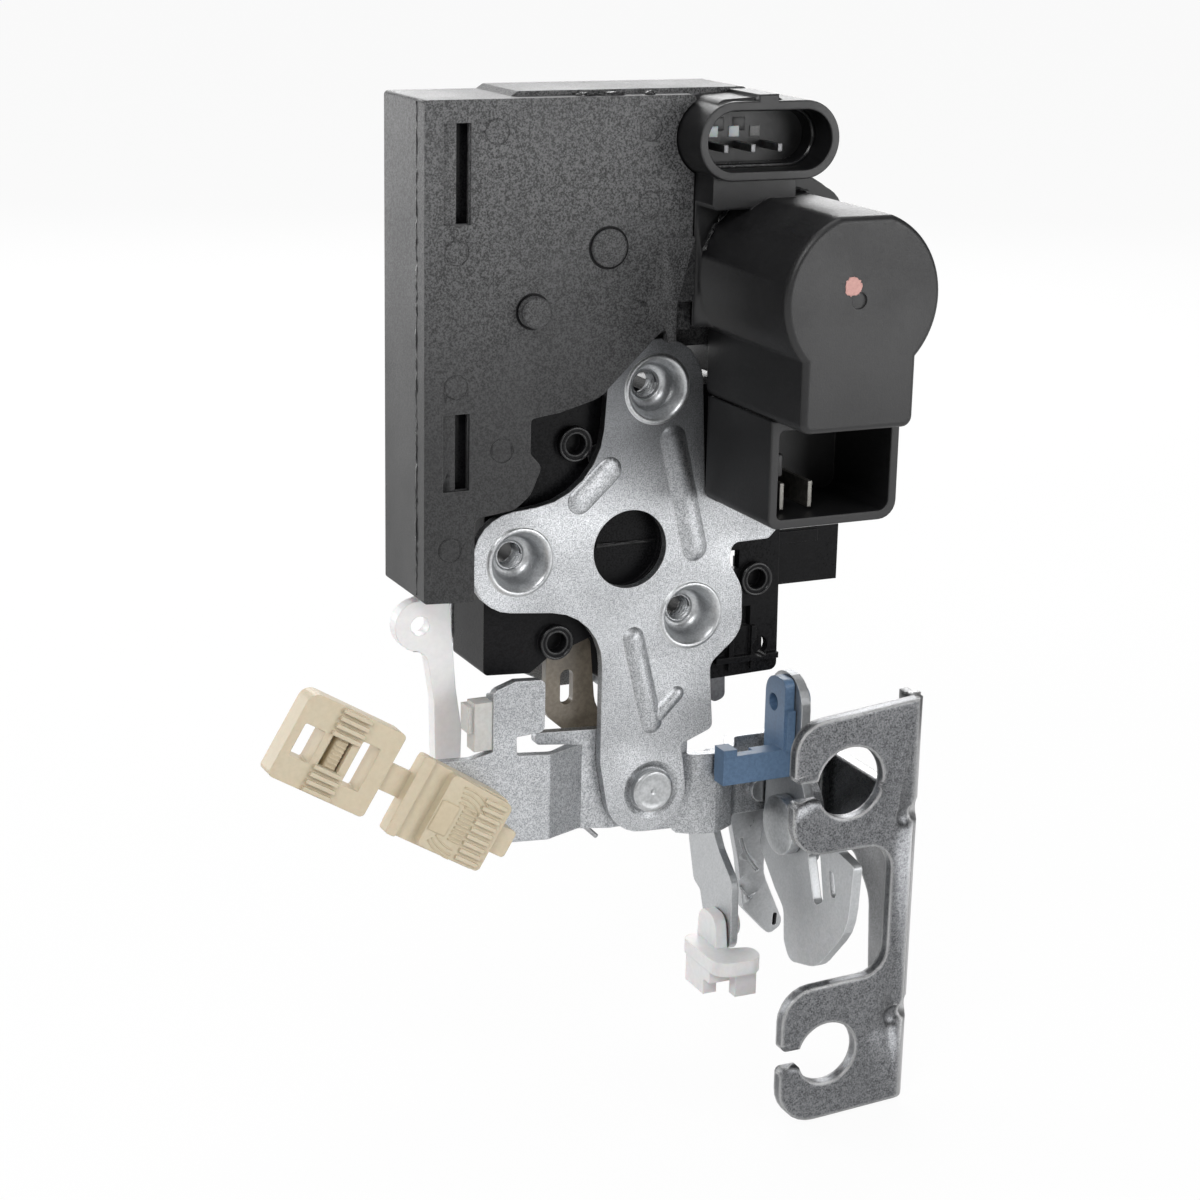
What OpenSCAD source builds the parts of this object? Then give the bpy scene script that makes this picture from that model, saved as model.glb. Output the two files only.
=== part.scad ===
// Car door lock: latch, electric lock actuator and the levers its rods and cables pull.
// X runs right, Y away from the back plate's front face, Z up. The origin is the middle of
// the back plate's central hole, on the front face. All values are millimetres or degrees.

/* [Back plate] */
// thickness of the main steel stampings
sheet_t = 2; // [1.6:0.1:2.4]
// central clearance hole of the back plate
plate_hole_d = 15.5; // [12:0.5:17]
// flared mouth of each screw boss
boss_flare_d = 13.4; // [11:0.1:15]
// smooth part of each screw boss
boss_bore_d = 9.2; // [8.4:0.1:9.6]
// depth of each drawn boss behind the front face
boss_len = 10; // [9.6:0.1:10.2]
// wall inside the threaded end of each boss, M6 thread
thread_minor_d = 5; // [4.9:0.05:5.1]
// height of the pressed ribs
rib_h = 1.1; // [0.5:0.1:1.6]
// shank of the lower pivot rivet
rivet_d = 6; // [5:0.5:7]
// head of the lower pivot rivet
rivet_head_d = 8.6; // [8:0.1:10]

/* [Actuator] */
// height of the actuator case over its left leg
box_h = 91.8; // [91:0.2:96]
// depth of the actuator case
box_depth = 20.3; // [20:0.1:21.5]
// thickness of the front cover with its rim
cover_t = 3.8; // [3.2:0.1:4.4]
// wall thickness of the moulded case
wall = 2; // [1.6:0.1:2.2]
// outside diameter of the motor housing
motor_hsg_d = 31.8; // [31:0.2:32.6]
// length of the motor housing in front of the case
motor_hsg_len = 37.4; // [36:0.2:42]
// diameter of the motor
motor_d = 24; // [20:0.5:25]
// gear module
gear_m = 1; // [0.96:0.01:1]
// teeth of the motor pinion
teeth_pinion = 10; // [10:1:10]
// teeth of the first reduction gear
teeth_first = 37; // [37:1:37]
// teeth of the second reduction gear
teeth_second = 32; // [32:1:32]
// teeth of the pinion that drives the rack
teeth_rack = 18; // [18:1:18]
// stroke of the lock slider
slide_stroke = 12; // [6:1:13]

/* [Latch] */
// width of the striker channel
channel_w = 17; // [15:0.5:18]
// width of the fork bolt's mouth
mouth_w = 11; // [10:0.5:11.5]
// thickness of the fork bolt and pawl
fork_t = 5; // [4:0.5:5.2]
// turn of the fork bolt from latched to open
fork_turn = 35; // [25:1:35]
// depth of the latch housing behind the back plate
housing_depth = 15.6; // [15:0.1:15.6]

/* [Levers and bracket] */
// reach of the outside lever left of its rivet
lever_reach = 46.7; // [44:0.1:50]
// hole at each end of a lever for its rod clip
clip_hole_d = 6; // [5:0.5:6.5]
// distance of the hook lever's clip hole above its pivot
hook_arm = 25.1; // [24:0.1:27]
// shaft of the headed pivot pin
pin_d = 6; // [5:0.5:7]
// head of the headed pivot pin
pin_head_d = 12.2; // [10:0.2:14]
// thickness of the cable bracket
bracket_t = 2.5; // [2:0.1:2.6]
// upper cable seat in the bracket
seat_upper_d = 14.8; // [12:0.2:16]
// lower cable seat in the bracket
seat_lower_d = 13.2; // [11:0.2:15]
// mouth of both cable seats
seat_mouth = 4; // [3:0.2:6]

/* [Hidden] */
$fn = 48;
eps = 0.01;
gap = 0.3;
run = 0.05;
// places of the screws and pivots, X and Z
top_boss = [4.9, 31];
left_boss = [-23, -0.3];
low_boss = [13.5, -14.6];
bosses = [top_boss, left_boss, low_boss];
rivet = [5.9, -50];
fork_axis = [-5, 18];
pawl_axis = [21.6, 24.4];
motor_axis = [26.8, 52.9];
// depths, Y
boss_od = boss_bore_d + 2.8;
hsg_y = 4;
hsg_back = hsg_y + housing_depth;
face_y = hsg_back + 0.4;
fork_y = 11;
pawl_lever_y = 7.6;
cover_y = -4;
tub_y = cover_y + cover_t;
tub_back = cover_y + box_depth;
// case, X and Z
box_l = -44;
box_b = -5.4;
box_t = box_b + box_h;
// gear train, X and Z
r_pin = gear_m * teeth_pinion / 2;
r_first = gear_m * teeth_first / 2;
r_second = gear_m * teeth_second / 2;
r_rack = gear_m * teeth_rack / 2;
first_dir = 164.2;
second_dir = 191.8;
first_axis = motor_axis + (r_pin + r_first) * [cos(first_dir), sin(first_dir)];
second_axis = first_axis + (r_pin + r_second) * [cos(second_dir), sin(second_dir)];
rack_x = second_axis.x - r_rack;
rack_y = 2.4;
second_y = rack_y + 4.1;
first_y = second_y + 4.1;
gear_w = 3.6;
arm_y = rack_y + gear_w;
// levers
lever_y = sheet_t + gap;
frame_y = lever_y + sheet_t + gap;
link_y = frame_y + sheet_t + gap;
link_t = 1.9;
spring_y = link_y + link_t + gap;
lever_front = -1 - gap - sheet_t;
clip_axis = [rivet.x - lever_reach, -44];
hook_x = 36.2;
hook_axis = [-2.6, -60.6];
hook_hole = [1.6, hook_axis.y + hook_arm];
flange_x = hook_x + sheet_t + 0.8;
sheet_y = 9.5;
lock_axis = [36, -57];
lock_y = sheet_y + sheet_t + 1.9;
strip_x = 24;
strip_t = 1.6;
strip_axis = [13.5, -56];
strip_hole = [3.2, -83];
bracket_y = -24;
bracket_l = 25;
bracket_r = 54.2;
seat_upper = [37.4, -44.7];
seat_lower = [34.9, -102];

steel = [0.72, 0.73, 0.75];
zinc = [0.78, 0.79, 0.8];
black = [0.1, 0.1, 0.11];

// outline helpers: corners are [x, z, radius]
function unit(v) = v / norm(v);
function turn(a) = a > 180 ? a - 360 : a < -180 ? a + 360 : a;
function arc_pts(c, r, a0, s, n) = [for (k = [0:n]) c + r * [cos(a0 + s * k / n), sin(a0 + s * k / n)]];
function corner(a, b, c) =
  let (p = [b.x, b.y], u = unit([a.x, a.y] - p), w = unit([c.x, c.y] - p))
  let (h = acos(max(-1, min(1, u * w))) / 2)
  b.z <= 0 || h > 89 ? [p] :
  let (m = p + unit(u + w) * b.z / sin(h), t0 = p + u * b.z / tan(h), t1 = p + w * b.z / tan(h))
  let (a0 = atan2(t0.y - m.y, t0.x - m.x), a1 = atan2(t1.y - m.y, t1.x - m.x), s = turn(a1 - a0))
  arc_pts(m, b.z, a0, s, max(2, ceil(abs(s) / 15)));
function rounded(v) = [for (i = [0:len(v) - 1]) each
  corner(v[(i + len(v) - 1) % len(v)], v[i], v[(i + 1) % len(v)])];

module outline(v) polygon(rounded(v));
// a flat plate facing the viewer, filling Y from y to y + t
module xz(y, t) translate([0, y + t, 0]) rotate([90, 0, 0]) linear_extrude(t) children();
// a flat plate facing left, filling X from x to x + t; drawn in Y and Z
module yz(x, t) translate([x, 0, 0]) rotate([90, 0, 90]) linear_extrude(t) children();
// a wall seen from above, drawn in X and Y, filling Z from z0 to z1
module plan(z0, z1) translate([0, 0, z0]) linear_extrude(z1 - z0) children();
module ycyl(p, y0, y1, d) translate([p.x, y1, p.y]) rotate([90, 0, 0]) cylinder(h = y1 - y0, d = d);
module ycone(p, y0, y1, d0, d1) translate([p.x, y0, p.y]) rotate([-90, 0, 0])
  cylinder(h = y1 - y0, d1 = d0, d2 = d1);
module xcyl(p, x0, x1, d) translate([x0, p.x, p.y]) rotate([0, 90, 0]) cylinder(h = x1 - x0, d = d);
module block(a, b) translate(a) cube(b - a);
// pressed rib with round ends, standing h off the face at y
module rib(a, b, w, h, y = 0) {
  r = (w * w / 4 + h * h) / (2 * h);
  intersection() {
    union() {
      translate([a.x, y + r - h, a.y]) rotate([0, 90 - atan2(b.y - a.y, b.x - a.x), 0])
        cylinder(h = norm(b - a), r = r);
      translate([a.x, y + r - h, a.y]) sphere(r);
      translate([b.x, y + r - h, b.y]) sphere(r);
    }
    block([-60, y - 2 * h, -70], [60, y + 0.6, 60]);
  }
}

// back plate
plate_pts = [
  [-4.9, 40.7, 9.2], [-6.9, 11.3, 15], [-32.8, 8.7, 8.9], [-32.6, -9.4, 8.6], [-5.4, -12.2, 12],
  [-5.4, -43, 10], [-2.6, -58.6, 8.2], [14.8, -58.6, 8.2], [12.2, -41.3, 0.6], [19.1, -38.6, 1.4],
  [18.1, -25.2, 3], [25, -19.2, 6], [24.7, -10, 6], [21.6, -4.6, 3], [22.2, -0.8, 1.8],
  [30.2, -0.6, 1], [33, 2.1, 1.4], [15.8, 9.6, 3], [14.2, 40.7, 9.2]
];
module back_plate() color(zinc) difference() {
  union() {
    xz(0, sheet_t) outline(plate_pts);
    for (b = bosses) {
      ycyl(b, 0.5, 6.2, boss_od);
      ycyl(b, 5, boss_len, thread_minor_d + 3.6);
    }
    rib([8.6, 21], [13.9, -1], 5.4, rib_h);
    rib([-3.4, 19.6], [-12.2, 9], 3.4, rib_h);
    rib([1.1, -18], [5.5, -35.8], 4.6, rib_h);
    rib([7, -34.4], [10.9, -30.5], 3.2, rib_h - 0.25);
  }
  for (b = bosses) {
    ycone(b, -eps, 2.4, boss_flare_d, boss_bore_d);
    ycyl(b, 2, 5.4, boss_bore_d);
    ycyl(b, 5, boss_len + 1, thread_minor_d);
  }
  ycyl([0, 0], -3, 3, plate_hole_d);
  ycyl(rivet, -3, 3, rivet_d + 2 * run);
  ycone(rivet, -eps, 0.6, rivet_head_d + 3.4, rivet_head_d + 0.6);
}

module lower_rivet() color(steel) {
  ycyl(rivet, -1.1, 0.6, rivet_head_d);
  ycyl(rivet, 0.5, spring_y + 2.7, rivet_d);
  ycyl(rivet, spring_y + 2.6, spring_y + 4, rivet_head_d);
}

// frame plate: face plate, shelf, leg and the joggled lever carrier in one stamping
face_pts = [[-29, 31, 4], [31, 31, 4], [31, -31, 3], [16, -33, 1], [-6, -33, 3], [-29, -22, 5]];
module channel2d(w, x0, x1, flare) {
  translate([x0, 0]) circle(d = w);
  polygon([[x0, -w / 2], [x1 - 6, -w / 2], [x1 + 1, -w / 2 - flare], [x1 + 1, w / 2 + flare],
    [x1 - 6, w / 2], [x0, w / 2]]);
}
carrier_pts = [
  [14, frame_y, 0.5], [17, 2.4, 3], [22, 1.6, 4.5], [26.5, 4.2, 3], [29.4, sheet_y, 1.5],
  [49.6, sheet_y, 0], [49.6, sheet_y + sheet_t, 0], [28, sheet_y + sheet_t, 3],
  [24.8, 5.4, 1.5], [21.6, 3.7, 2], [18.4, 4.4, 2], [16, frame_y + sheet_t, 1], [14, frame_y + sheet_t, 0]
];
module frame_plate() color(zinc) difference() {
  union() {
    difference() {
      xz(face_y, sheet_t) outline(face_pts);
      xz(face_y - 1, sheet_t + 2) channel2d(channel_w, -4, 31, 4);
      for (b = bosses) ycyl(b, face_y - 1, face_y + sheet_t + 1, 7);
      ycyl(fork_axis, face_y - 1, face_y + sheet_t + 1, 7);
      ycyl(pawl_axis, face_y - 1, face_y + sheet_t + 1, 6);
    }
    block([2, frame_y, -33], [16, face_y + sheet_t, -31]);
    xz(frame_y, sheet_t) outline([[2, -31, 0], [16, -31, 0], [16, -61, 1], [4, -60.5, 6],
      [-2.6, -52, 6], [-2.6, -44, 3], [2, -40, 3]]);
    plan(-62, -45) outline(carrier_pts);
    yz(flange_x, sheet_t) outline([[sheet_y + 1, -45, 0], [sheet_y + 1, -70, 4], [-7.6, -71, 7],
      [-8.6, -54, 7], [2, -47, 5]]);
    yz(strip_x + 2.4, sheet_t) outline([[sheet_y - 1.5, -49, 0], [18.4, -49, 4], [18.4, -61.8, 4],
      [sheet_y - 1.5, -61.8, 0]]);
    block([41.5, sheet_y, -69], [49.6, sheet_y + sheet_t, -61]);
  }
  ycyl(rivet, 0, 12, rivet_d + 2 * run);
  xcyl(hook_axis, flange_x - 1, flange_x + 4, pin_d - 1 + 2 * run);
  xcyl(strip_axis, strip_x + 2, strip_x + 5, 4.06);
  ycyl(lock_axis, 8, 14, 4 + 2 * run);
  for (z = [-55, -65]) ycyl([bracket_r - 8.6, z], 8, 14, 4);
}

// latch housing, open at the back
hsg_pts = [
  [-28.7, 30.4, 3], [34.6, 30.4, 3], [35.4, -29.4, 1.5], [0, -30.4, 1], [0, -20.5, 1],
  [-5, -17.6, 4], [-15.4, -21.4, 2], [-19, -24, 1], [-28.7, -23.4, 1]
];
hsg_in = [
  [-26.7, 28.4, 2], [32.6, 28.4, 2], [33.2, -27.6, 1], [2, -28.4, 1], [2, -18.6, 1],
  [-5, -15.6, 4], [-26.7, -21.4, 1]
];
module latch_housing() color(black) difference() {
  union() {
    difference() {
      xz(hsg_y, housing_depth) outline(hsg_pts);
      xz(hsg_y + 2, housing_depth) outline(hsg_in);
    }
    for (p = [[-10.7, 20.9], [29.4, -9.6], [-14, -18]]) ycyl(p, hsg_y - 1.4, hsg_y + 2, 6.8);
    for (b = [bosses[1], bosses[2]]) ycyl(b, boss_len + 0.4, hsg_back, 10);
    for (b = bosses) ycyl(b, hsg_y, boss_len + 0.5, boss_od + 2);
    block([-28.7, hsg_y, 28.6], [-20, hsg_y + 2, 30.4]);
    block([34, 5, -12], [49, 9, -0.6]);
    block([35, 4.4, -3.4], [44, 5.2, -1]);
    for (x = [24, 29]) block([x, hsg_y - 1, -28.5], [x + 1, hsg_y + 0.5, -19.4]);
    block([21, hsg_y - 1.4, -26.6], [35, hsg_y + 0.5, -25.4]);
  }
  for (b = bosses) ycyl(b, 0, boss_len + 0.4, boss_od + 2 * gap);
  for (b = bosses) ycyl(b, boss_len, hsg_back + 1, 7);
  for (p = [[-10.7, 20.9], [29.4, -9.6], [-14, -18]]) ycyl(p, 0, hsg_y + 1.2, 4);
  ycyl([0, 0], 0, hsg_y + 1, channel_w);
  xz(8.4, 20) channel2d(channel_w + 1, -2, 36, 1);
  block([22, 0, -7.5], [26, 8, -3.6]);
  block([24.6, 0, -19.6], [29, 8, -15.4]);
  ycyl([31.2, -24], 0, 8, 4);
  block([-17.4, hsg_y + 2, -30], [1.8, 12, -16.4]);
  block([15.6, 6, -31.5], [36.5, 10.4, -17]);
  ycyl(fork_axis, 0, hsg_y + 3, 5 + 2 * run);
  ycyl(pawl_axis, 0, hsg_y + 3, 5 + 2 * run);
}

// fork bolt and pawl
fork_pts = [
  [-13.6, 24, 7], [-5, 28.4, 8], [2.9, 22.8, 5], [8.7, 16.6, 2], [11.2, 15.9, 0.8], [17, 14.5, 0.8],
  [15.2, 8.4, 9], [12.6, 3.8, 9], [9.4, 0.4, 4], [9.6, -5.6, 1.8], [mouth_w / 2, -5.8, 1.4],
  [mouth_w / 2, -0.1, 0],
  [mouth_w / 2, mouth_w / 2, mouth_w / 2 - 0.1], [-mouth_w / 2, mouth_w / 2, mouth_w / 2 - 0.1],
  [-mouth_w / 2, -0.1, 0], [-mouth_w / 2, -8, 2], [-11.6, -7.6, 2.4], [-12.8, 10, 6]
];
module fork_bolt() color(steel) difference() {
  xz(fork_y, fork_t) outline(fork_pts);
  ycyl(fork_axis, fork_y - 1, fork_y + fork_t + 1, 6 + 2 * run);
}
cover_pts = [
  [-11.4, 23, 6], [-5, 26.4, 6], [2.6, 22.2, 4], [6.4, 15, 3], [8.4, 8, 2], [-8.4, 8, 2], [-11, 12, 4]
];
module fork_cover() color(black) difference() {
  xz(fork_y - 1.6, 1.6) outline(cover_pts);
  ycyl(fork_axis, fork_y - 3, fork_y + 1, 8.4);
}
module fork_pin() color(steel) {
  ycyl(fork_axis, hsg_y + 0.2, fork_y - 0.4, 5);
  ycyl(fork_axis, fork_y - 0.6, face_y, 6);
  ycyl(fork_axis, face_y - 0.2, face_y + sheet_t, 7);
}
pawl_pts = [
  [17.9, 28.1, 3.6], [25.3, 28.1, 3.6], [25.6, 20.8, 3.6], [21.6, 16.6, 2], [17.9, 15.2, 0.6],
  [17.8, 17.6, 1], [18.1, 20.6, 2]
];
module pawl() color(steel) difference() {
  xz(fork_y, fork_t) outline(pawl_pts);
  ycyl(pawl_axis, fork_y - 1, fork_y + fork_t + 1, 5 + 2 * run);
}
pawl_lever_pts = [
  [17.9, 28.1, 3.6], [25.3, 28.1, 3.6], [25.8, 14, 3], [25.6, 5, 4], [25.6, -30, 1],
  [25.8, -35.4, 1.4], [22.8, -36.4, 1.4], [21, -31, 2], [21, 6, 4], [18.4, 18, 4]
];
module pawl_lever() color([0.22, 0.22, 0.23]) difference() {
  union() {
    xz(pawl_lever_y, 1.8) outline(pawl_lever_pts);
    ycyl(pawl_axis, pawl_lever_y, fork_y, 7);
  }
  ycyl(pawl_axis, pawl_lever_y - 1, fork_y + 1, 5 + 2 * run);
}
module pawl_pin() color(steel) {
  ycyl(pawl_axis, hsg_y + 0.2, face_y + 0.1, 5);
  ycyl(pawl_axis, face_y, face_y + sheet_t, 6);
}
// close-wound torsion spring with two straight legs
module coil(p, y, turns, d, wire, a0, l0, a1, l1) {
  translate([p.x, y + wire / 2, p.y]) rotate([-90, 0, 0]) rotate_extrude()
    for (k = [0:turns - 1]) translate([d / 2, 0.85 * k * wire]) circle(d = wire);
  for (q = [[a0, l0, 0], [a1, l1, turns - 1]])
    translate([p.x + d / 2 * cos(q[0]), y + wire * (0.5 + 0.85 * q[2]), p.y + d / 2 * sin(q[0])])
      rotate([0, 90 - q[0] - 80, 0]) cylinder(h = q[1], d = 0.9 * wire);
}
module fork_spring() color(steel)
  coil(fork_axis, fork_y + fork_t + 0.5, 2, 9.4, 1, 100, 11, 190, 9);
module pawl_spring() color(steel)
  coil(pawl_axis, fork_y + fork_t + 0.5, 2, 6.4, 0.9, 300, 5, 200, 5);
module bumper() color(black) difference() {
  xz(boss_len + 0.5, 8.4) outline([[-26.7, 9, 1], [-16.4, 9, 2], [-15, 5, 2], [-15, -7, 2], [-17, -14, 2],
    [-26.7, -14, 1]]);
  ycyl(left_boss, 0, 22, 10);
}

// actuator case
cover_edge = [
  [box_l, box_t, 0.8], [9.4, box_t, 1], [9.4, 42.8, 0.5], [4, 43.4, 5], [-9, 31, 6], [-17.1, 28.8, 4],
  [-22.9, 28, 0.8], [-22.9, 21.4, 0.6], [-20.6, 18.8, 1.5], [-22.8, 13.6, 3], [-26, 11, 3],
  [-34, 10, 1.4], [-34, box_b - 0.6, 0.6], [box_l, box_b, 0.6]
];
tub_top = [
  [box_l, box_t, 0.8], [-26, box_t, 0], [-24.6, box_t + 0.9, 0.5], [21, box_t + 0.9, 1],
  [29, box_t - 4, 4], [33, 72, 4], [40.6, 67.6, 6], [44.4, 58, 6], [44.4, 42, 6], [36, 31.6, 4]
];
tub_leg = [
  [-30.2, 31.6, 1.4], [-31, 14, 1], [-33.1, 8.4, 2], [-33.1, box_b, 0.6], [box_l, box_b, 0.6]
];
in_top = [
  [box_l + wall, box_t - wall, 1], [20, box_t - wall, 2], [27, box_t - 5, 3], [31, 70.6, 4],
  [39, 66, 5], [42.4, 57.6, 5], [42.4, 43, 5], [35, 33.6, 3]
];
in_leg = [
  [-32.2, 33.6, 1], [-33, 15, 1], [-34.5, 9.6, 2], [-34.5, box_b + wall, 0.5],
  [box_l + wall, box_b + wall, 0.5]
];
// the case steps back over the back plate and again over its top boss
tub_front = concat(tub_top, [[18.6, 31.6, 1], [17.6, 43.2, 1], [-1, 43.2, 4], [-11, 31.6, 4]], tub_leg);
tub_rear = concat(tub_top, [[20, 31.6, 1], [18, 38.4, 2], [-7, 38.4, 2], [-10, 31.6, 2]], tub_leg);
in_front = concat(in_top, [[20.6, 33.6, 1], [19.4, 45.2, 1], [-2, 45.2, 3], [-12, 33.6, 3]], in_leg);
in_rear = concat(in_top, [[21.4, 33.6, 1], [19.4, 39.7, 2], [-8.4, 39.7, 2], [-11.4, 33.6, 2]], in_leg);
step_y = sheet_t + 0.8;
module case_tub() color(black) difference() {
  union() {
    difference() {
      union() {
        xz(tub_y, step_y - tub_y + 0.5) outline(tub_front);
        xz(step_y, tub_back - step_y) outline(tub_rear);
      }
      xz(tub_y - 1, step_y + wall - tub_y + 1 + eps) outline(in_front);
      xz(step_y + wall, tub_back - step_y - wall - 1.3) outline(in_rear);
    }
    for (p = [first_axis, second_axis]) ycyl(p, tub_back - 1.6, tub_back, 6);
    ycyl(motor_axis, first_y + gear_w + gap, tub_back - 1, 7);
  }
  block([-40.7, arm_y - 0.4, box_b - 1], [-34.5, arm_y + 3.4, box_b + wall + 1]);
  ycyl(motor_axis, first_y + gear_w, tub_back - 0.6, 2 + 2 * run);
  for (p = [first_axis, second_axis]) ycyl(p, first_y, tub_back - 0.6, 3);
}
module case_cover() color(black) difference() {
  union() {
    difference() {
      xz(cover_y, cover_t) outline(cover_edge);
      xz(cover_y + wall, cover_t) intersection() {
        outline([[box_l + wall, box_t - wall, 1], [7.4, box_t - wall, 1], [7.4, 46, 1], [-9, 34.6, 5],
          [-24.9, 30.6, 2], [-25, 22, 1], [-29, 13, 2], [-36, 12, 1], [-36, box_b + wall, 0.5],
          [box_l + wall, box_b + wall, 0.5]]);
        outline(in_front);
      }
    }
    ycyl([-22.8, 48], cover_y - 2, cover_y + 1, 5.8);
    ycyl([-7.8, 59], cover_y - 0.6, cover_y + 1, 7);
    block([3, cover_y - 1.2, 48.4], [9.4, cover_y + 1, 60.4]);
    block([4.4, cover_y - 1.2, 40.8], [6, cover_y + 1, 49]);
    for (p = [first_axis, second_axis]) ycyl(p, cover_y + 1, -0.6, 6);
  }
  for (p = [first_axis, second_axis]) if (p.x < 6) ycyl(p, cover_y + 1.4, 2, 3);
  xz(cover_y - 1, cover_t + 3) oval(conn_u, conn_u_w + 2 * gap, conn_u_h + 2 * gap);
  for (r = [[64.3, 82.3], [15.5, 29.9]]) block([-40.3, cover_y - 1, r[0]], [-35.1, cover_y + 1.2, r[1]]);
  for (p = [[-30.1, 80.6], [0.4, 80.4], [0.4, 66.6], [-37.8, 59.3], [-37.9, 34.9], [-1.4, 46.8],
    [-28.7, 22.5], [-38.9, 4.4]]) difference() {
    ycyl(p, cover_y - 0.5, cover_y + 0.15, 4.8);
    ycyl(p, cover_y - 1, cover_y + 1, 4.3);
  }
}

// motor housing with both connectors
conn_u = [20.3, 78.6];
conn_u_w = 29;
conn_u_h = 14.4;
conn_u_y = -13;
conn_l = [[15.6, 27.4], [43, 8.6]];
conn_l_y = -26;
hsg_front = cover_y - motor_hsg_len + 3.4;
module oval(c, w, h) {
  for (s = [-1, 1]) translate([c.x + s * (w - h) / 2, c.y]) circle(d = h);
  translate([c.x - (w - h) / 2, c.y - h / 2]) square([w - h, h]);
}
module key_shape(g) {
  intersection() {
    translate(motor_axis) circle(d = motor_hsg_d - 2 * g);
    translate(motor_axis - [30, 30]) square([60, 30 + 15 - g]);
  }
  outline([[motor_axis.x - 11.6 + g, motor_axis.y - 6, 0], [motor_axis.x + 11.6 - g, motor_axis.y - 6, 0],
    [motor_axis.x + 11.6 - g, 29 + g, 2], [motor_axis.x - 11.6 + g, 29 + g, 2]]);
}
module motor_housing() color(black) difference() {
  union() {
    xz(hsg_front, tub_y - hsg_front - gap) key_shape(0);
    xz(cover_y, cover_t - gap) outline([[9.8, 84, 2], [27, 84, 3], [31, 72, 3], [40, 67.2, 6],
        [44.2, 58, 6], [44.2, 30, 4],
      [43, 8.8, 2], [15.8, 8.8, 1], [16.6, 30, 0], [16, 43, 3], [9.8, 43.4, 0.5]]);
    xz(conn_u_y, tub_y - gap - conn_u_y) oval(conn_u, conn_u_w, conn_u_h);
    xz(conn_u_y + 2, tub_y - gap - conn_u_y - 2) outline([[9.8, 86, 2], [22, 86.6, 3], [27, 84, 3],
      [27, 66, 2], [9.8, 66, 1]]);
    xz(conn_l_y, tub_y - gap - conn_l_y)
      outline([[conn_l[0].x, 29, 0], [conn_l[1].x, 29, 0], [conn_l[1].x, conn_l[1].y, 3.6],
        [conn_l[0].x, conn_l[1].y, 2]]);
    block([17.6, conn_u_y, 85], [21.8, conn_u_y + 12, 87]);
  }
  xz(hsg_front + 1.8, tub_y - hsg_front) translate(motor_axis) circle(d = motor_d + 2 * gap);
  block([motor_axis.x - 9.4, hsg_front + 2, 31], [motor_axis.x + 9.4, -5.4, motor_axis.y]);
  xz(conn_u_y - 1, 11) oval(conn_u, conn_u_w - 3.4, conn_u_h - 3.4);
  xz(conn_l_y - 1, 21.6) outline([[conn_l[0].x + 1.8, 27.2, 1], [conn_l[1].x - 1.8, 27.2, 1],
    [conn_l[1].x - 1.8, conn_l[1].y + 1.8, 2], [conn_l[0].x + 1.8, conn_l[1].y + 1.8, 1]]);
  ycyl([motor_axis.x - 1, motor_axis.y], hsg_front - 1, hsg_front + 0.5, 3);
  for (x = [0:2]) block([conn_u.x - 11.6 + x * 4.4, conn_u_y, conn_u.y + 1],
      [conn_u.x - 9 + x * 4.4, -1.6, conn_u.y + 3.4]);
  for (x = [20.6, 26.6]) block([x - 0.1, conn_l_y, 10.9], [x + 0.9, -1.2, 16.1]);
}
module upper_terminals() color([0.8, 0.78, 0.7])
  for (x = [0:2]) block([conn_u.x - 8 + x * 5.6, conn_u_y + 3, conn_u.y - 2.3],
      [conn_u.x - 7.2 + x * 5.6, conn_u_y + 10, conn_u.y - 0.9]);
module lower_terminals() color([0.75, 0.72, 0.62])
  for (x = [20.6, 26.6]) block([x, conn_l_y + 5, 11], [x + 0.8, -1.5, 16]);

module motor() color(steel) difference() {
  ycyl(motor_axis, hsg_front + 2.2, -7.4, motor_d);
  for (s = [-1, 1]) block([motor_axis.x + s * 12 - 1.6, hsg_front, 30],
      [motor_axis.x + s * 12 + 1.6, 0, 80]);
  ycyl(motor_axis, -12, 0, 6.4);
}
module motor_cap() color([0.85, 0.84, 0.8]) difference() {
  union() {
    ycyl(motor_axis, -7.2, -5, motor_d - 1);
    ycyl(motor_axis, -9.6, -5, 6);
  }
  ycyl(motor_axis, -12, 0, 2.1 + 2 * run);
}

// gears
function tooth(n, m, k, a, bl) = let (c = a + 360 * k / n, h = 90 / n - bl, q = 34 / n)
  let (ra = m * (n / 2 + 0.8), rr = m * (n / 2 - 1.1))
  [rr * [cos(c - h - q), sin(c - h - q)], ra * [cos(c - h + q), sin(c - h + q)],
   ra * [cos(c + h - q), sin(c + h - q)], rr * [cos(c + h + q), sin(c + h + q)]];
module gear2d(n, a) polygon([for (k = [0:n - 1]) each tooth(n, gear_m, k, a, 12 / n)]);
module gear(p, y, n, a) xz(y, gear_w) translate(p) gear2d(n, a);
module motor_pinion() color([0.85, 0.7, 0.35]) {
  ycyl(motor_axis, -11, tub_back - 0.9, 2);
  gear(motor_axis, first_y, teeth_pinion, first_dir);
}
first_phase = first_dir + 180 + 180 / teeth_first;
second_phase = second_dir + 180 + 180 / teeth_second;
module first_gear() color([0.9, 0.9, 0.86]) difference() {
  union() {
    gear(first_axis, first_y, teeth_first, first_phase);
    gear(first_axis, second_y, teeth_pinion, second_dir);
    ycyl(first_axis, rack_y, second_y + eps, 6);
    ycyl(first_axis, second_y, first_y + eps, 6);
  }
  ycyl(first_axis, 0, 20, 3 + 2 * run);
}
module second_gear() color([0.9, 0.9, 0.86]) difference() {
  union() {
    gear(second_axis, second_y, teeth_second, second_phase);
    gear(second_axis, rack_y, teeth_rack, 180);
    ycyl(second_axis, rack_y, first_y - 0.4, 7);
  }
  ycyl(second_axis, 0, 20, 3 + 2 * run);
}
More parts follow.
